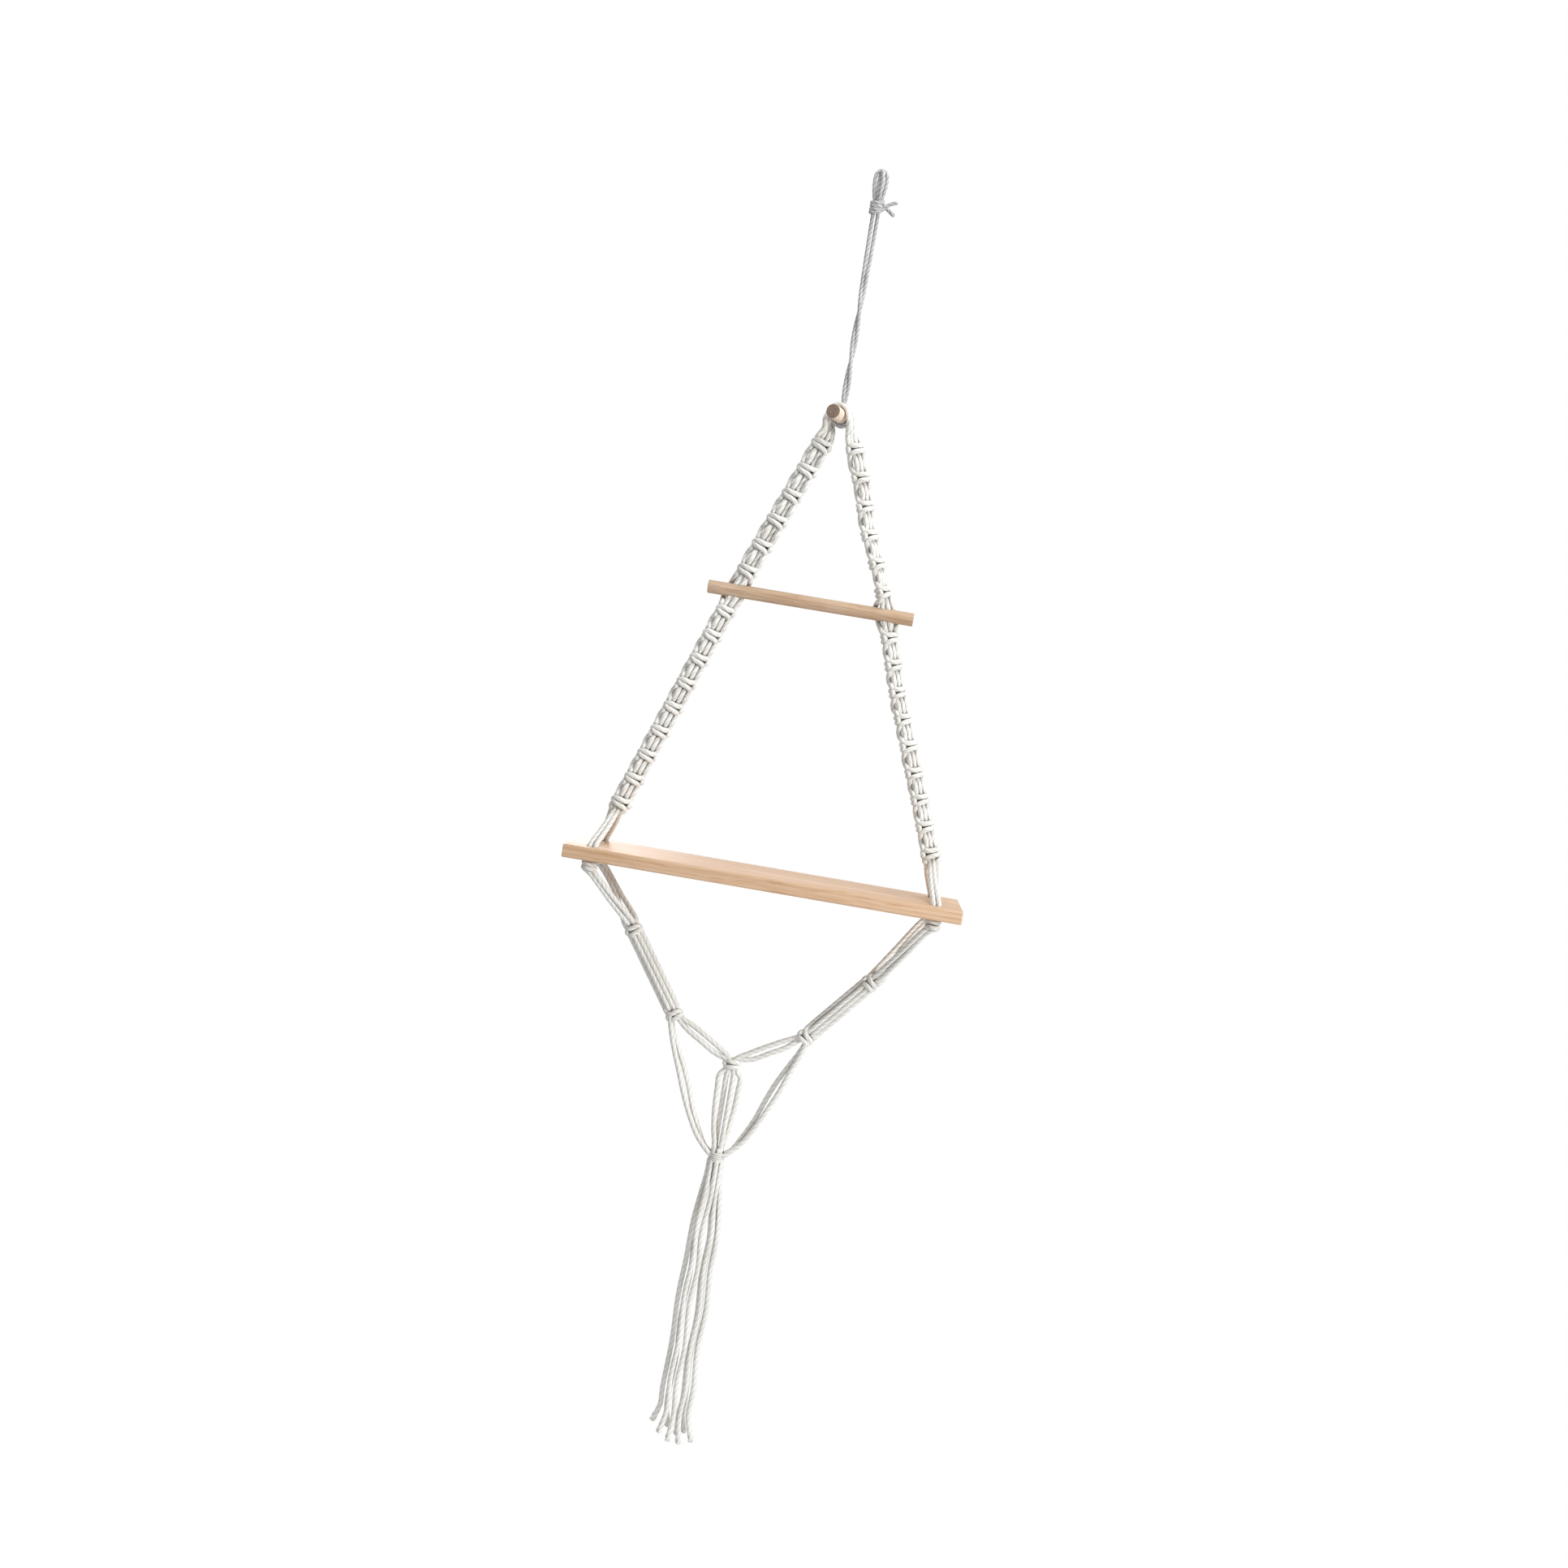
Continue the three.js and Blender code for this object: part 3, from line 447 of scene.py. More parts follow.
def legSpot(side, reach, across, back):
    turn = math.radians(between(legShape["twist"][side], reach))
    sway = between(legShape["sway"][side], reach)
    return legPoint(
        side, reach, sway + across * math.cos(turn) - back * math.sin(turn),
        back * math.cos(turn) + across * math.sin(turn))


def knotReaches():
    spans = [
        (legShape["firstKnotDrop"], barReach - legShape["barKnotReach"]),
        (barReach + legShape["barKnotReach"], legEnd - legShape["knotHeight"] / 2)]
    reaches = []
    for start, end in spans:
        count = max(1, round((end - start) / legShape["knotPitch"]))
        reaches += [start + (end - start) * i / count for i in range(count + 1)]
    return reaches


def squareKnot(upperHalf):
    # its lower half mirrors the upper one
    return upperHalf + [(-down, across, back) for down, across, back in upperHalf[-2::-1]]


# One square knot about two fillers: down, across and depth. The front cord crosses twice in front.
frontPass = squareKnot([
    (-7.8, 9.2, 0), (-5.6, 8.6, -0.6), (-4.1, 6.2, -3.6), (-3.3, 2.6, -5.3), (-3.0, -2.6, -5.3), (-2.9, -6.6, -3.9),
    (-1.8, -9.6, -1.2), (0, -10.6, 0.2)])
backPass = squareKnot([
    (-7.8, -9.2, 0), (-5.6, -8.8, 1.2), (-4.2, -6.2, 5.0), (-3.3, -2.6, 6.9), (-3.0, 2.6, 6.9), (-2.8, 7.2, 4.2),
    (-1.7, 10.2, -0.4), (0, 10.9, -2.6)])


def knotOut(side, across):
    # the left edge of each knot is drawn in, and its right edge keeps the small loop of the cord
    return across * (legShape["leftEdgeShare"] if across * side < 0 else 1)


def dowelPlace(across, along, rise):
    # a point given in the dowel's own frame
    turn = -legShape["dowelTurn"]
    return Vector((
        across * math.cos(turn) - along * math.sin(turn),
        across * math.sin(turn) + along * math.cos(turn),
        rise - legShape["dowelDrop"]))


def dowelExit(side, offset, beyond):
    radius = legShape["saddleRadius"]
    across = side * (radius * math.cos(saddleLean) + beyond * math.sin(saddleLean))
    return dowelPlace(across, offset, radius * math.sin(saddleLean) - beyond * math.cos(saddleLean))


def saddlePoints(offset):
    # from the right side over to the left
    radius, steps = legShape["saddleRadius"], legShape["saddleSteps"]
    angles = [saddleLean + (math.pi - 2 * saddleLean) * i / steps for i in range(steps + 1)]
    return [dowelPlace(radius * math.cos(angle), offset, radius * math.sin(angle)) for angle in angles]


def footPoints(side, end, lane, across):
    holeX = side * (legShape["holeSide"] + lane * legShape["fillerAcross"])
    holeY = end * legShape["holeDepth"]
    gathered = across * legShape["footGather"] + between(legShape["sway"][side], legEnd)
    start = legPoint(side, legEnd + cordDiameter / 2, gathered, end * touchGap)
    rise = legShape["footRise"] - cordDiameter / 2
    bend = [
        Vector((
            start.x + (holeX - start.x) * out, start.y + (holeY - start.y) * out,
            rise * height - legShape["boardDrop"]))
        for out, height in legShape["footShares"]]
    return [start] + bend + [Vector((holeX, holeY, boardUnder))]


# Stopper under a hole: one cord rings the top of the knot, the other its bottom
stopperShape = {
    "radius": 6.3, "upper": -3.4, "lower": -9.2, "slope": 1.6, "lean": 5.5, "tail": -15, "steps": 8,
    "sweepShare": 0.94, "innerShare": 0.8, "enterShare": 0.55, "leaveShare": 2.6}
stopperTop = boardUnder - touchGap


def stopperPoints(side, end, lane):
    centre = Vector((side * legShape["holeSide"], end * legShape["holeDepth"], stopperTop))
    startX = lane * side * legShape["fillerAcross"]
    innerX = startX * stopperShape["innerShare"]
    level = stopperShape["upper"] if lane < 0 else stopperShape["lower"]
    first = 0 if startX > 0 else math.pi
    points = []
    if lane > 0:
        points.append(Vector((innerX, 0, level * stopperShape["enterShare"])))
    for i in range(stopperShape["steps"] + 1):
        share = i / stopperShape["steps"]
        angle = first + 2 * math.pi * share * stopperShape["sweepShare"]
        points.append(Vector((
            stopperShape["radius"] * math.cos(angle), stopperShape["radius"] * math.sin(angle),
            level - stopperShape["slope"] * (share - 0.5))))
    if lane < 0:
        points.append(Vector((innerX, 0, level * stopperShape["leaveShare"])))
    points.append(Vector((startX - side * stopperShape["lean"], 0, stopperShape["tail"])))
    return [centre + p for p in points]


upperKnots = {-1: Vector((-138, 0, -886)), 1: Vector((138, 0, -901))}
sideKnots = {-1: Vector((-76, 0, -975)), 1: Vector((76, 0, -975))}
centreKnot = Vector((-2, 0, -1019))
depthAxis = Vector((0, 1, 0))


def armDown(side):
    return (sideKnots[side] - upperKnots[side]).normalized()


def acrossOf(down):
    return Vector((-down.z, 0, down.x))


netShape = {
    "armAcross": (-7.0, -2.7, 2.5, 6.9), "armDepths": (1.9, -1.7, -1.1, 1.5), "acrossShare": 0.74, "depthShare": 0.9,
    "fillerEnter": (-12, 3.15, -2.4),  # down the arm, across it and in depth, from the knot
    "knotterEnter": (-13, 7, 3),
    "fillerInside": 2.7, "pairAcross": 3.1, "frontSag": 0.5, "backSag": 3.4, "sagDrop": 1.5,
    "fillerSpots": (-6, -1, 4.5), "coreAcross": 5.4, "innerAcross": 3.05,
    "innerBow": {"upper": 1.8, "lower": -0.4},
}


def knotPoints(centre, down, form, lane):
    across = acrossOf(down) * (lane * netShape["acrossShare"])
    return [centre + down * s + across * a + depthAxis * (d * netShape["depthShare"]) for s, a, d in form]


def armShift(side, index):
    return acrossOf(armDown(side)) * netShape["armAcross"][index] + depthAxis * netShape["armDepths"][index]


# Below the stoppers the front pair becomes the fillers of the upper knot and the back pair ties it
def upperKnotPoints(side, end, lane):
    down = armDown(side)
    across = acrossOf(down)
    knot = upperKnots[side]
    worldLane = lane * side
    leave = Vector((
        side * (legShape["holeSide"] - stopperShape["lean"]) + worldLane * legShape["fillerAcross"],
        end * legShape["holeDepth"], stopperTop + stopperShape["tail"]))
    if end < 0:
        finish = [
            knot + across * (worldLane * netShape["fillerInside"]) + down * s for s in netShape["fillerSpots"]]
    else:
        finish = knotPoints(knot, down, frontPass if worldLane < 0 else backPass, -1)[:-2]
    before, beside, behind = netShape["fillerEnter" if end < 0 else "knotterEnter"]
    enter = knot + down * before + across * (worldLane * beside) + depthAxis * behind
    pairPlace = knot + down * netShape["fillerEnter"][0] + across * (worldLane * netShape["pairAcross"])
    sag = netShape["backSag" if end > 0 else "frontSag"]
    middle = leave.lerp(pairPlace, 0.5) + Vector((-side * sag, 0, -netShape["sagDrop"]))
    return [middle, enter] + finish


def slackSpots(side, lane, isKnotter, reach):
    places = legShape["slack"][side][0 if reach < barReach else 1]
    across, back = places[1 - isKnotter if lane > 0 else 2 + isKnotter]
    across = across * between(legShape["spread"][side], reach) + between(legShape["sway"][side], reach)
    return [legPoint(side, reach + s * legShape["slackHalf"], across, back) for s in (-1, 1)]


def throughBar(side, across):
    hold = legShape["barHold"]
    return [legSpot(side, barReach + s, across, 0) for s in (-hold, 0, hold)]


def behindBar(side, across):
    middle = barReach + across * leanSin / leanCos
    clear = legShape["barClear"] / math.cos(math.pi / 8)
    return [
        legPoint(side, middle + clear * math.sin(turn) / leanCos, across, clear * math.cos(turn))
        for turn in (-math.pi / 4, 0, math.pi / 4)]


def legRoute(side, lane, isKnotter):
    if isKnotter:
        across = lane * legShape["knotterAcross"]
        offset = lane * side * (legShape["knotterOffset"] + legShape["knotterShift"])
        first = legSpot(side, legShape["knotterStart"], across * legShape["knotterGather"], 0)
        form = [(s, knotOut(side, -a), d) for s, a, d in (frontPass if lane < 0 else backPass)]
    else:
        across = lane * legShape["fillerAcross"]
        offset = lane * side * legShape["fillerOffset"]
        first = legSpot(side, legShape["fillerStart"], across, 0)
        hold, gathered = legShape["fillerHold"], across * legShape["fillerGather"]
        form = [(s, gathered, legShape["fillerSink"]) for s in (-hold, hold)]
    points = [dowelExit(side, offset, legShape["hitchClear"]), first]
    reaches = knotReaches()
    for reach, after in zip(reaches, reaches[1:] + [None]):
        points += [legSpot(side, reach + s, a, d) for s, a, d in form]
        if after is None:
            points += footPoints(side, 1 if isKnotter else -1, lane, across)
        elif reach < barReach < after:
            points += behindBar(side, across) if isKnotter else throughBar(side, across)
        else:
            points += slackSpots(side, lane, isKnotter, (reach + after) / 2)
    return points


def wholeRoute(offsetSign, isKnotter):
    offset = legShape["knotterOffset"] if isKnotter else legShape["fillerOffset"]
    end = 1 if isKnotter else -1
    halves = {}
    for side in (-1, 1):
        lane = offsetSign * side
        halves[side] = legRoute(side, lane, isKnotter) + stopperPoints(side, end, lane)
        halves[side] += upperKnotPoints(side, end, lane)
    return list(reversed(halves[1])) + saddlePoints(offsetSign * offset) + halves[-1]


mainRopes = {
    "knotting_rope_front": (-1, True, [
        "knotting_saddle_front", "left_knotted_cords", "left_back_stopper", "left_upper_knot"]),
    "filler_rope_front": (-1, False, [
        "filler_saddle_front", "left_filler_front", "right_filler_front", "left_front_stopper"]),
    "filler_rope_back": (1, False, [
        "filler_saddle_back", "left_filler_back", "right_filler_back", "right_front_stopper"]),
    "knotting_rope_back": (1, True, [
        "knotting_saddle_back", "right_knotted_cords", "right_back_stopper", "right_upper_knot"]),
}
for turnIndex, (name, (offsetSign, isKnotter, nodes)) in enumerate(mainRopes.items()):
    route = wholeRoute(offsetSign, isKnotter)
    piece, _, length = makeRope(
        name, route, cordDiameter, naturalCotton, turnIndex * ropeMake["turnSteps"]["main"])
    attach(piece, "frame", nodes)
    print("  " + name, round(length), "mm", len(piece.data.polygons), "faces")

print("Net")


def armPoints(side, index):
    down = armDown(side)
    shift = armShift(side, index)
    start, end = upperKnots[side], sideKnots[side]
    length = (end - start).length
    return [start + shift + down * far for far in (1.5, 9, length / 2, length - 14)]


def sideKnotPoints(side, index):
    down = armDown(side)
    if index in (0, 3):
        return knotPoints(sideKnots[side], down, frontPass if index == 0 else backPass, -1)
    across = acrossOf(down) * ((index - 1.5) * netShape["coreAcross"])
    return [sideKnots[side] + across + down * s for s in (-7, 0, 7)]


def innerPoints(side, place):
    start = sideKnots[side]
    line = centreKnot - start
    rise = Vector((abs(line.z) * math.copysign(1, line.x), 0, abs(line.x))).normalized()
    lane = 1 if place == "upper" else -1
    bow = 4 * netShape["innerBow"][place]
    return [
        start + line * share + rise * (lane * netShape["innerAcross"] + share * (1 - share) * bow)
        for share in (0.27, 0.5, 0.73)]


# The four cords from the centre knot to the binding: shares of the way down, gathered in, and in depth
centreShape = {
    "inset": 3.3, "topDrop": 1023.25, "pitch": 8,
    "shares": ((0.1, 0, 0.2), (0.25, 0, 0.45), (0.5, 0.15, 0.95), (0.7, 0.45, 1), (0.86, 0.85, 1), (1, 1, 1))}


def centrePoints(index):
    inset, topDrop = centreShape["inset"], centreShape["topDrop"]
    span = -bindingCentre.z - topDrop
    start = (index - 1.5) * centreShape["pitch"]
    finish = -inset if index < 2 else inset
    back = inset if index % 2 else -inset
    return [
        Vector((centreKnot.x + start + (finish - start) * gather, back * depth, -topDrop - span * share))
        for share, gather, depth in centreShape["shares"]]


def netRoute(side, index):
    points = armPoints(side, index) + sideKnotPoints(side, index)
    isInner = index >= 2 if side < 0 else index <= 1
    if not isInner:
        return points[:-2]
    place = "upper" if index in (0, 3) else "lower"
    points += innerPoints(side, place)
    down = Vector((0, 0, -1))
    if place == "upper":
        points += [centreKnot + Vector((side * legShape["fillerAcross"], 0, rise)) for rise in (5, 0, -7)]
        return points + centrePoints(1 if side < 0 else 2)
    form = frontPass if side < 0 else backPass
    points += knotPoints(centreKnot, down, form, -1)[2 if side < 0 else 1:]
    return points + centrePoints(0 if side < 0 else 3)


# solids that each of these ropes stands for besides its arm cord
netNodes = {
    "left": (
        [], [], ["left_inner_cord_lower", "centre_cord_1", "centre_knot"],
        ["left_side_knot", "left_inner_cord_upper", "centre_cord_2"]),
    "right": (
        ["right_side_knot", "right_inner_cord_upper", "centre_cord_3"],
        ["right_inner_cord_lower", "centre_cord_4"], [], []),
}
for side, sideName in ((-1, "left"), (1, "right")):
    for index, nodes in enumerate(netNodes[sideName]):
        turnIndex = index if side < 0 else index + 4
        piece = makeRope(
            f"{sideName}_net_rope_{index + 1}", netRoute(side, index), cordDiameter, naturalCotton,
            turnIndex * ropeMake["turnSteps"]["net"])[0]
        attach(piece, "net", [f"{sideName}_arm_cord_{index + 1}"] + nodes)

# Twine round the eight cords at the tassel's neck, which it presses thin: seven about one in the middle
bindingShape = {
    "radius": 8.0, "turns": 5.2, "turnSteps": 16, "pitch": 2.2, "twine": 2.4, "coreRadius": 5.0, "core": 4.4,
    "corePlaces": ((1.08, 9), (1.0, 5), (0.96, 0), (1.0, -5), (1.1, -9))}  # spread and level


def bindingPoints():
    steps, radius = bindingShape["turnSteps"], bindingShape["radius"]
    points = []
    for i in range(round(bindingShape["turns"] * steps) + 1):
        angle = 2 * math.pi * i / steps
        level = (bindingShape["turns"] / 2 - i / steps) * bindingShape["pitch"]
        points.append(bindingCentre + Vector((radius * math.cos(angle), radius * math.sin(angle), level)))
    return points


piece = makeRope("binding_twine", bindingPoints(), bindingShape["twine"], naturalCotton)[0]
attach(piece, "net", ["tassel_binding"])

for index in range(8):
    angle = 2 * math.pi * (index + 0.5) / 7
    out = 0 if index == 7 else bindingShape["coreRadius"]
    route = [
        bindingCentre + Vector((out * spread * math.cos(angle), out * spread * math.sin(angle), level))
        for spread, level in bindingShape["corePlaces"]]
    piece = makeRope(f"binding_core_{index + 1}", route, bindingShape["core"], naturalCotton, index)[0]
    attach(piece, "net", [])

print("Hanging cord")

hangShape = {
    "diameter": 4.3, "loopHalf": 6.6,
    "outerTurn": (8, 0),  # degrees about the upright line, so that both turns share one eye, and inset
    "innerTurn": (-70, 0.9),
    "knotRadius": 5.7, "knotTurns": 3.7, "knotTop": -31.6, "knotBottom": -45.0, "knotWobble": 1.6,
    "strandTurns": 1.25, "strandMeets": -127, "strandEnds": -260.4, "twinOffset": 1.85, "twinSpread": 0.3,
    "hitchRadius": 10.3, "hitchSweep": 308,
}


def hangingLoopPoints(degrees, inset):
    half = hangShape["loopHalf"] - inset
    crown = [(-half, 0, -6), (-half * 0.72, 0, -0.9 - inset), (0, 0, 1.7 - inset), (half * 0.72, 0, -0.9 - inset)]
    left = [(-2.2, 0, -40), (-3.0, 0, -33), (-4.9, 0, -26), (-half + 0.3, 0, -17)]
    right = [(-x, y, z) for x, y, z in reversed(left + crown[:1])]
    turn = math.radians(degrees)
    return [(x * math.cos(turn), x * math.sin(turn), z) for x, y, z in left + crown + right]


def hangingKnotPoints():
    # in from one tail, round and down, and out to the other tail
    radius, top, bottom = (hangShape[key] for key in ("knotRadius", "knotTop", "knotBottom"))
    count = round(hangShape["knotTurns"] * 12)
    points = [(20, 4.5, -44), (12, 3.4, -38.5), (6.5, 2.4, -36.2)]
    for i in range(count + 1):
        angle = 0.5 + 2 * math.pi * i / 12
        level = top + (bottom - top) * i / count + hangShape["knotWobble"] * math.sin(angle + 0.6)
        points.append((radius * math.cos(angle) * 1.06, radius * math.sin(angle), level))
    return points + [(6.0, -3.4, -42), (11, -3.6, -37.2), (16, -3.8, -34), (21.5, -4, -32)]


def strandPoints(side):
    # apart below the knot, then twisted together down to the dowel
    steps = 14
    start, end = hangShape["strandMeets"], hangShape["strandEnds"]
    points = [(side * out, 0, level) for out, level in ((2.7, -39), (2.8, -46), (2.75, -60), (2.5, -92))]
    for i in range(steps + 1):
        angle = (hangShape["strandTurns"] * 2 * math.pi - legShape["dowelTurn"]) * i / steps
        offset = side * (hangShape["twinOffset"] + hangShape["twinSpread"] * (i / steps) ** 4)
        points.append((offset * math.cos(angle), offset * math.sin(angle), start + (end - start) * i / steps))
    return points


def hitchPoints():
    # lark's head, in the dowel's own frame: round the dowel, over the bight, and round again beside it
    ring, sweep, steps = hangShape["hitchRadius"], hangShape["hitchSweep"], 10
    rounds = []
    for first, direction, along in ((64, -1, -2.15), (116, 1, 2.5)):
        angles = [math.radians(first + direction * sweep * i / steps) for i in range(steps + 1)]
        rounds.append([
            (ring * math.cos(angle), along - 0.35 * i / steps, ring * math.sin(angle))
            for i, angle in enumerate(angles)])
    bight = [(-2.2, -2.6, 12.6), (-0.6, -2.2, 14.6), (0.6, 0, 15.4), (-0.6, 2.2, 14.6), (-2.2, 2.6, 12.6)]
    enter, leave = [(1.0, -2.15, 15.5), (2.6, -2.15, 12.6)], [(2.6, 2.15, 12.6), (1.0, 2.15, 15.5)]
    return [dowelPlace(*spot) for spot in enter + rounds[0] + bight + rounds[1] + leave]


for name, points, body, nodes in (
        ("hanging_loop_cord", hangingLoopPoints(*hangShape["outerTurn"]), "loop", ["hanging_loop"]),
        ("hanging_loop_cord_inner", hangingLoopPoints(*hangShape["innerTurn"]), "loop", []),
        ("hanging_knot_cord", hangingKnotPoints(), "loop", ["hanging_knot"]),
        ("hanging_strand_cord_left", strandPoints(-1), "strands", ["hanging_strand_left"]),
        ("hanging_strand_cord_right", strandPoints(1), "strands", ["hanging_strand_right"]),
        ("dowel_hitch_cord", hitchPoints(), "dowel", ["dowel_hitch"])):
    piece = makeRope(name, points, hangShape["diameter"], greyCotton)[0]
    attach(piece, body, nodes)

print("Wood")


def paleWood(name, look):
    nodes = Nodes(name)
    fibres = nodes.noise(nodes.stretched(look["fibreScale"], look["turn"]), 1.0, 6.0, 0.62, 0.25)
    pores = nodes.noise(nodes.stretched(look["poreScale"], look["turn"]), 1.0, 2.0, 0.5)
    rings = nodes.add("ShaderNodeTexWave", wave_type="RINGS", rings_direction="X", wave_profile="SAW")
    for socket, value in (("Scale", 1.0), ("Distortion", look["ringWander"]), ("Detail", 3.0), ("Detail Scale", 1.2)):
        rings.inputs[socket].default_value = value
    nodes.link(nodes.stretched(look["ringStretch"], look["turn"]), rings.inputs["Vector"])
    patches = nodes.noise(nodes.objectPlace(), look["patchScale"], 2.0, 0.5)
    base = nodes.ramp(fibres, [(0.25, look["dark"]), (0.5, look["middle"]), (0.75, look["light"])])
    ringTone = nodes.ramp(rings.outputs["Fac"], [(0.0, look["ringLight"]), (0.9, look["ringDark"])])
    colour = nodes.mix("MULTIPLY", look["ringShare"], base, ringTone)
    poreTone = nodes.ramp(pores, [(0.34, look["pore"]), (0.46, white)])
    colour = nodes.mix("MULTIPLY", 0.5, colour, poreTone)
    patchTone = nodes.ramp(patches, [(0.3, look["patch"]), (0.7, white)])
    colour = nodes.mix("MULTIPLY", 0.6, colour, patchTone)
    normal = nodes.bump(pores, 0.00015, 0.3, nodes.bump(fibres, 0.0003, 0.35))
    rough = nodes.math("MULTIPLY_ADD", fibres, 0.18, look["roughness"])
    return nodes.finish(colour, normal, rough, {
        "Specular IOR Level": 0.35, "Coat Weight": look["wax"], "Coat Roughness": 0.45})


sawnWood = {"turn": 0, "ringShare": 0.5, "ringLight": (255, 250, 244), "roughness": 0.5}
boardWood = paleWood("boardWood", {
    **sawnWood,
    "fibreScale": (7, 160, 160), "poreScale": (30, 900, 900), "patchScale": 9,
    "ringStretch": (2.2, 26, 60), "ringWander": 3.0, "ringDark": (226, 202, 176),
    "dark": (209, 176, 142), "middle": (226, 196, 166), "light": (234, 210, 181),
    "pore": (206, 178, 148), "patch": (240, 230, 218), "wax": 0.4,
})
barWood = paleWood("barWood", {
    **sawnWood,
    "fibreScale": (9, 220, 220), "poreScale": (40, 1100, 1100), "patchScale": 14,
    "ringStretch": (3, 90, 90), "ringWander": 2.5, "ringDark": (222, 198, 172),
    "dark": (193, 167, 140), "middle": (213, 190, 166), "light": (225, 205, 183),
    "pore": (196, 168, 140), "patch": (236, 224, 212), "wax": 0.15,
})
dowelWood = paleWood("dowelWood", {
    "fibreScale": (240, 12, 240), "poreScale": (1100, 50, 1100), "turn": legShape["dowelTurn"], "patchScale": 20,
    "ringStretch": (110, 4, 110), "ringWander": 2.0, "ringShare": 0.4,
    "ringLight": (255, 252, 248), "ringDark": (234, 216, 196),
    "dark": (236, 217, 199), "middle": (247, 233, 219), "light": (252, 243, 232),
    "pore": (210, 188, 164), "patch": (242, 234, 224), "roughness": 0.55, "wax": 0.1,
})
endGrain = paleWood("endGrain", {
    **sawnWood,
    "fibreScale": (600, 600, 600), "poreScale": (1800, 1800, 1800), "patchScale": 160,
    "ringStretch": (300, 300, 700), "ringWander": 1.5, "ringShare": 0.8, "ringDark": (190, 168, 150),
    "dark": (134, 121, 109), "middle": (168, 154, 143), "light": (188, 174, 163),
    "pore": (150, 124, 104), "patch": (226, 214, 204), "roughness": 0.75, "wax": 0.0,
})


def clearSelection():
    if bpy.context.object and bpy.context.object.mode != "OBJECT":
        bpy.ops.object.mode_set(mode="OBJECT")
    bpy.ops.object.select_all(action="DESELECT")


def selectOnly(piece):
    clearSelection()
    piece.select_set(True)
    bpy.context.view_layer.objects.active = piece


def selectWhere(piece, kind, test):
    # faces or edges of a piece, which is left in edit mode
    bpy.ops.object.mode_set(mode="EDIT")
    bpy.ops.mesh.select_mode(type=kind)
    bpy.ops.mesh.select_all(action="DESELECT")
    bpy.ops.object.mode_set(mode="OBJECT")
    for part in piece.data.polygons if kind == "FACE" else piece.data.edges:
        part.select = test(part)
    bpy.ops.object.mode_set(mode="EDIT")


def settle(piece):
    selectOnly(piece)
    bpy.ops.object.transform_apply(location=True, rotation=True, scale=True)


def applyBoolean(piece, cutter):
    cut = piece.modifiers.new("cut", "BOOLEAN")
    cut.operation = "DIFFERENCE"
    cut.solver = "EXACT"
    cut.object = cutter
    selectOnly(piece)
    bpy.ops.object.modifier_apply(modifier="cut")
    bpy.data.objects.remove(cutter)


sawRing = {"insetShare": 0.3, "depth": 0.15}


def makeRod(name, length, radius, edge, place, turn):
    clearSelection()
    bpy.ops.mesh.primitive_cylinder_add(
        vertices=64, radius=radius / 1000, depth=length / 1000, location=[v / 1000 for v in place], rotation=turn)
    rod = bpy.context.object
    rod.name = name
    # round each end, then sink a faint saw ring into it
    selectWhere(rod, "FACE", lambda face: abs(face.normal.z) > 0.9)
    bpy.ops.mesh.bevel(offset=edge / 1000, segments=4, affect="EDGES")
    selectWhere(rod, "FACE", lambda face: len(face.vertices) > 8)
    inset = radius * sawRing["insetShare"] / 1000
    bpy.ops.mesh.inset(thickness=inset)
    bpy.ops.mesh.inset(thickness=inset, depth=-sawRing["depth"] / 1000)
    settle(rod)
    bpy.ops.object.shade_smooth_by_angle(angle=math.radians(40))
    return rod


def finishWood(piece, nodes, body, materials, isEnd=None):
    for material in materials:
        piece.data.materials.append(material)
    if isEnd:
        for face in piece.data.polygons:
            face.material_index = 1 if isEnd(face) else 0
    attach(piece, body, nodes)


dowelShape = {"length": 70, "radius": 8, "edge": 0.8}
dowelAxis = Vector((math.sin(legShape["dowelTurn"]), math.cos(legShape["dowelTurn"]), 0))
dowel = makeRod(
    "top_dowel_rod", dowelShape["length"], dowelShape["radius"], dowelShape["edge"],
    (0, 0, -legShape["dowelDrop"]), (math.pi / 2, 0, -legShape["dowelTurn"]))
finishWood(
    dowel, ["top_dowel"], "dowel", [dowelWood, endGrain],
    lambda face: abs(face.normal.dot(dowelAxis)) > 0.8)

barShape = {"radius": 7.5, "edge": 0.8, "overhang": 31.5, "slot": (12.9, 6.6, 30), "slotRound": 3.2}
barLength = 2 * (legShape["saddleRadius"] * leanCos + barReach * leanSin + barShape["overhang"])
bar = makeRod(
    "cross_bar_rod", barLength, barShape["radius"], barShape["edge"],
    (0, 0, -legShape["barDrop"]), (0, math.pi / 2, 0))
for side in (-1, 1):
    # a slot for the two middle cords, with round ends
    clearSelection()
    bpy.ops.mesh.primitive_cube_add(
        size=1, location=legPoint(side, barReach, 0, 0) / 1000, rotation=(0, -side * legLean, 0))
    cutter = bpy.context.object
    cutter.scale = [v / 1000 for v in barShape["slot"]]
    settle(cutter)
    down = Vector((side * leanSin, 0, -leanCos))
    corners = cutter.data.vertices
    selectWhere(cutter, "EDGE", lambda edge: abs(
        (corners[edge.vertices[1]].co - corners[edge.vertices[0]].co).normalized().dot(down)) > 0.9)
    bpy.ops.mesh.bevel(offset=barShape["slotRound"] / 1000, segments=6, affect="EDGES")
    bpy.ops.object.mode_set(mode="OBJECT")
    applyBoolean(bar, cutter)
bpy.ops.object.shade_smooth_by_angle(angle=math.radians(40))
finishWood(bar, ["cross_bar"], "frame", [barWood, endGrain], lambda face: abs(face.normal.x) > 0.95)

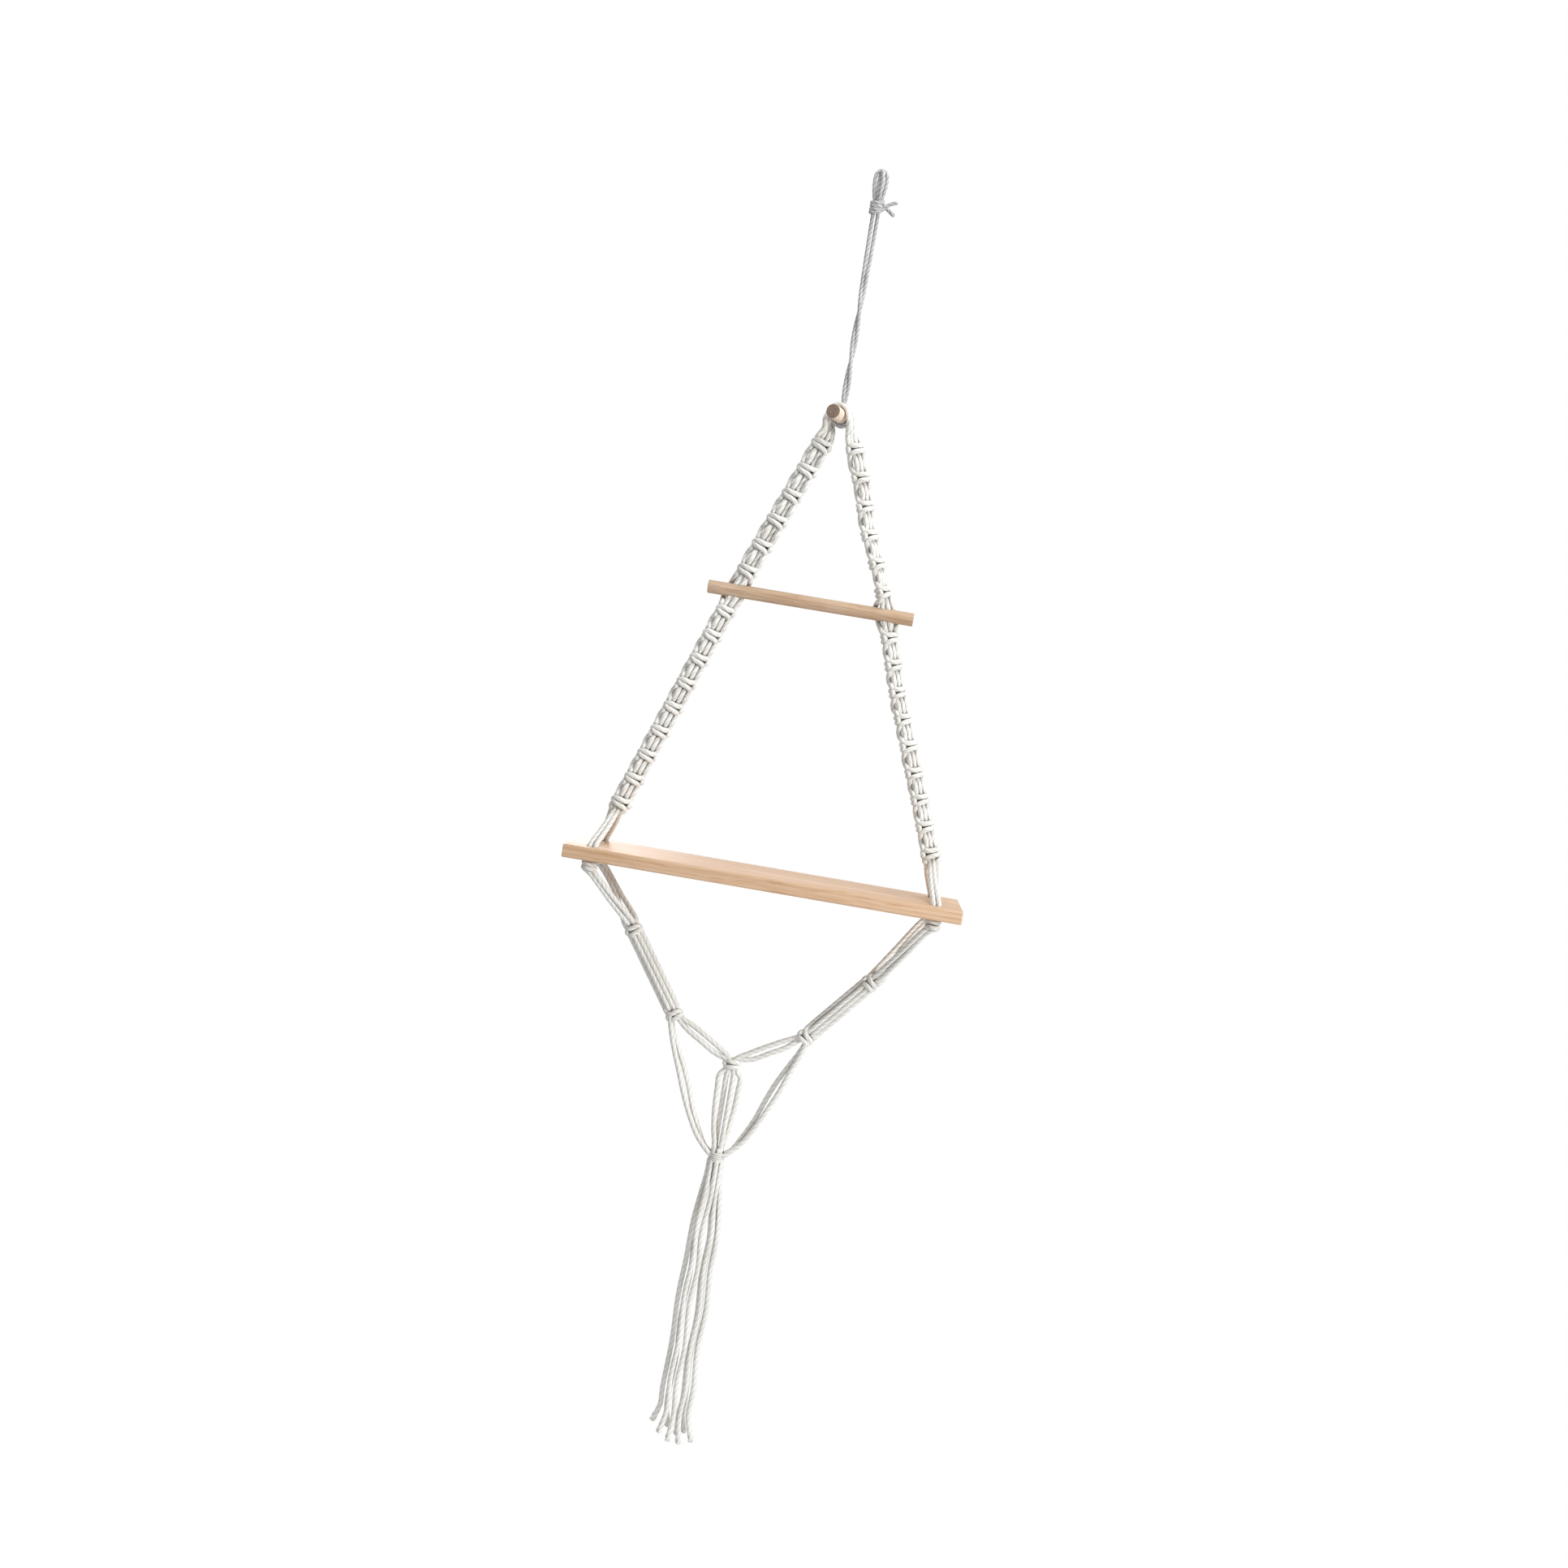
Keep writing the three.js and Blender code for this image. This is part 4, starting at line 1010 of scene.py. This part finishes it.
boardShape = {"length": 450, "depth": 120, "edge": 1.2, "hole": 14, "countersink": 0.8, "pastFace": 0.2}
boardSize = (boardShape["length"], boardShape["depth"], legShape["boardThickness"])
boardMiddle = -(legShape["boardDrop"] + legShape["boardThickness"] / 2) / 1000
clearSelection()
bpy.ops.mesh.primitive_cube_add(size=1, location=(0, 0, boardMiddle))
board = bpy.context.object
board.name = "shelf_board_plank"
board.scale = [v / 1000 for v in boardSize]
settle(board)
bpy.ops.object.mode_set(mode="EDIT")
bpy.ops.mesh.select_all(action="SELECT")
bpy.ops.mesh.bevel(offset=boardShape["edge"] / 1000, segments=4, affect="EDGES")
bpy.ops.object.mode_set(mode="OBJECT")
boreDepth = legShape["boardThickness"] - 2 * boardShape["countersink"]
flare = boardShape["countersink"] + boardShape["pastFace"]
flareGrow = 1 + 2 * flare / boardShape["hole"]
for side in (-1, 1):
    for end in (-1, 1):
        clearSelection()
        bpy.ops.mesh.primitive_cylinder_add(
            vertices=48, radius=boardShape["hole"] / 2000, depth=boreDepth / 1000,
            location=(side * legShape["holeSide"] / 1000, end * legShape["holeDepth"] / 1000, boardMiddle))
        cutter = bpy.context.object
        # flare both ends, so that each hole has an eased rim
        for direction in (-1, 1):
            selectWhere(cutter, "FACE", lambda face: face.normal.z * direction > 0.9)
            bpy.ops.mesh.extrude_region_move(
                TRANSFORM_OT_translate={"value": (0, 0, direction * flare / 1000)})
            bpy.ops.transform.resize(value=(flareGrow, flareGrow, 1))
        settle(cutter)
        applyBoolean(board, cutter)
bpy.ops.object.shade_smooth_by_angle(angle=math.radians(35))
finishWood(board, ["shelf_board"], "frame", [boardWood])

print("Floor and light")

studio = {
    "floorRadius": 0.55, "floorHeight": -2.0, "fadeStart": 0.25,
    "floorTones": [(0.3, (238, 237, 235)), (0.7, (244, 243, 241))],
    "worldStrength": 0.4, "aim": (0, 0, -0.7),
    # place, size and watts
    "lamps": {
        "keyLamp": ((3.2, -1.7, -0.2), 1.2, 85),
        "overheadLamp": ((0.3, -0.7, 1.7), 1.6, 33),
        "fillLamp": ((0.3, -2.2, -2.0), 1.8, 12),
        "rearLamp": ((-1.3, 3.0, -0.3), 1.8, 52),
    },
}

clearSelection()
bpy.ops.mesh.primitive_circle_add(
    vertices=96, radius=studio["floorRadius"], fill_type="NGON", location=(0, 0, studio["floorHeight"]))
floor = bpy.context.object
floor.name = "paleFloor"
settle(floor)
floorNodes = Nodes("paleFloor")
floorTone = floorNodes.ramp(floorNodes.noise(floorNodes.objectPlace(), 6), studio["floorTones"])
floorNodes.link(floorTone, floorNodes.shader.inputs["Base Color"])
floorNodes.shader.inputs["Roughness"].default_value = 0.9
# the floor fades out towards its rim
flatPlace = floorNodes.add("ShaderNodeVectorMath", operation="MULTIPLY")
flatPlace.inputs[1].default_value = (1, 1, 0)
floorNodes.link(floorNodes.objectPlace(), flatPlace.inputs[0])
fromMiddle = floorNodes.add("ShaderNodeVectorMath", operation="LENGTH")
floorNodes.link(flatPlace.outputs[0], fromMiddle.inputs[0])
fade = floorNodes.add("ShaderNodeMapRange", interpolation_type="SMOOTHSTEP")
for socket, value in (
        ("From Min", studio["fadeStart"]), ("From Max", studio["floorRadius"]), ("To Min", 1.0), ("To Max", 0.0)):
    fade.inputs[socket].default_value = value
floorNodes.link(fromMiddle.outputs["Value"], fade.inputs["Value"])
floorNodes.link(fade.outputs["Result"], floorNodes.shader.inputs["Alpha"])
floor.data.materials.append(floorNodes.material)

for name, (place, size, watts) in studio["lamps"].items():
    data = bpy.data.lights.new(name, "AREA")
    data.shape = "DISK"
    data.size = size
    data.energy = watts
    aim = (Vector(place) - Vector(studio["aim"])).to_track_quat("Z", "Y")
    addObject(name, data).matrix_world = Matrix.Translation(place) @ aim.to_matrix().to_4x4()

world = bpy.data.worlds.new("whiteStudio")
bpy.context.scene.world = world
world.use_nodes = True
tree = world.node_tree
background = tree.nodes["Background"]
background.inputs["Color"].default_value = (1, 1, 1, 1)
# white where it is seen, straight or in gloss or glass, and dimmer as a light
rays = tree.nodes.new("ShaderNodeLightPath")
seen = rays.outputs["Is Camera Ray"]
for kind in ("Is Glossy Ray", "Is Transmission Ray"):
    either = tree.nodes.new("ShaderNodeMath")
    either.operation = "MAXIMUM"
    tree.links.new(seen, either.inputs[0])
    tree.links.new(rays.outputs[kind], either.inputs[1])
    seen = either.outputs[0]
strength = tree.nodes.new("ShaderNodeMapRange")
tree.links.new(seen, strength.inputs["Value"])
strength.inputs["To Min"].default_value = studio["worldStrength"]
strength.inputs["To Max"].default_value = 1.0
tree.links.new(strength.outputs["Result"], background.inputs["Strength"])

bpy.context.scene.view_settings.view_transform = "Standard"
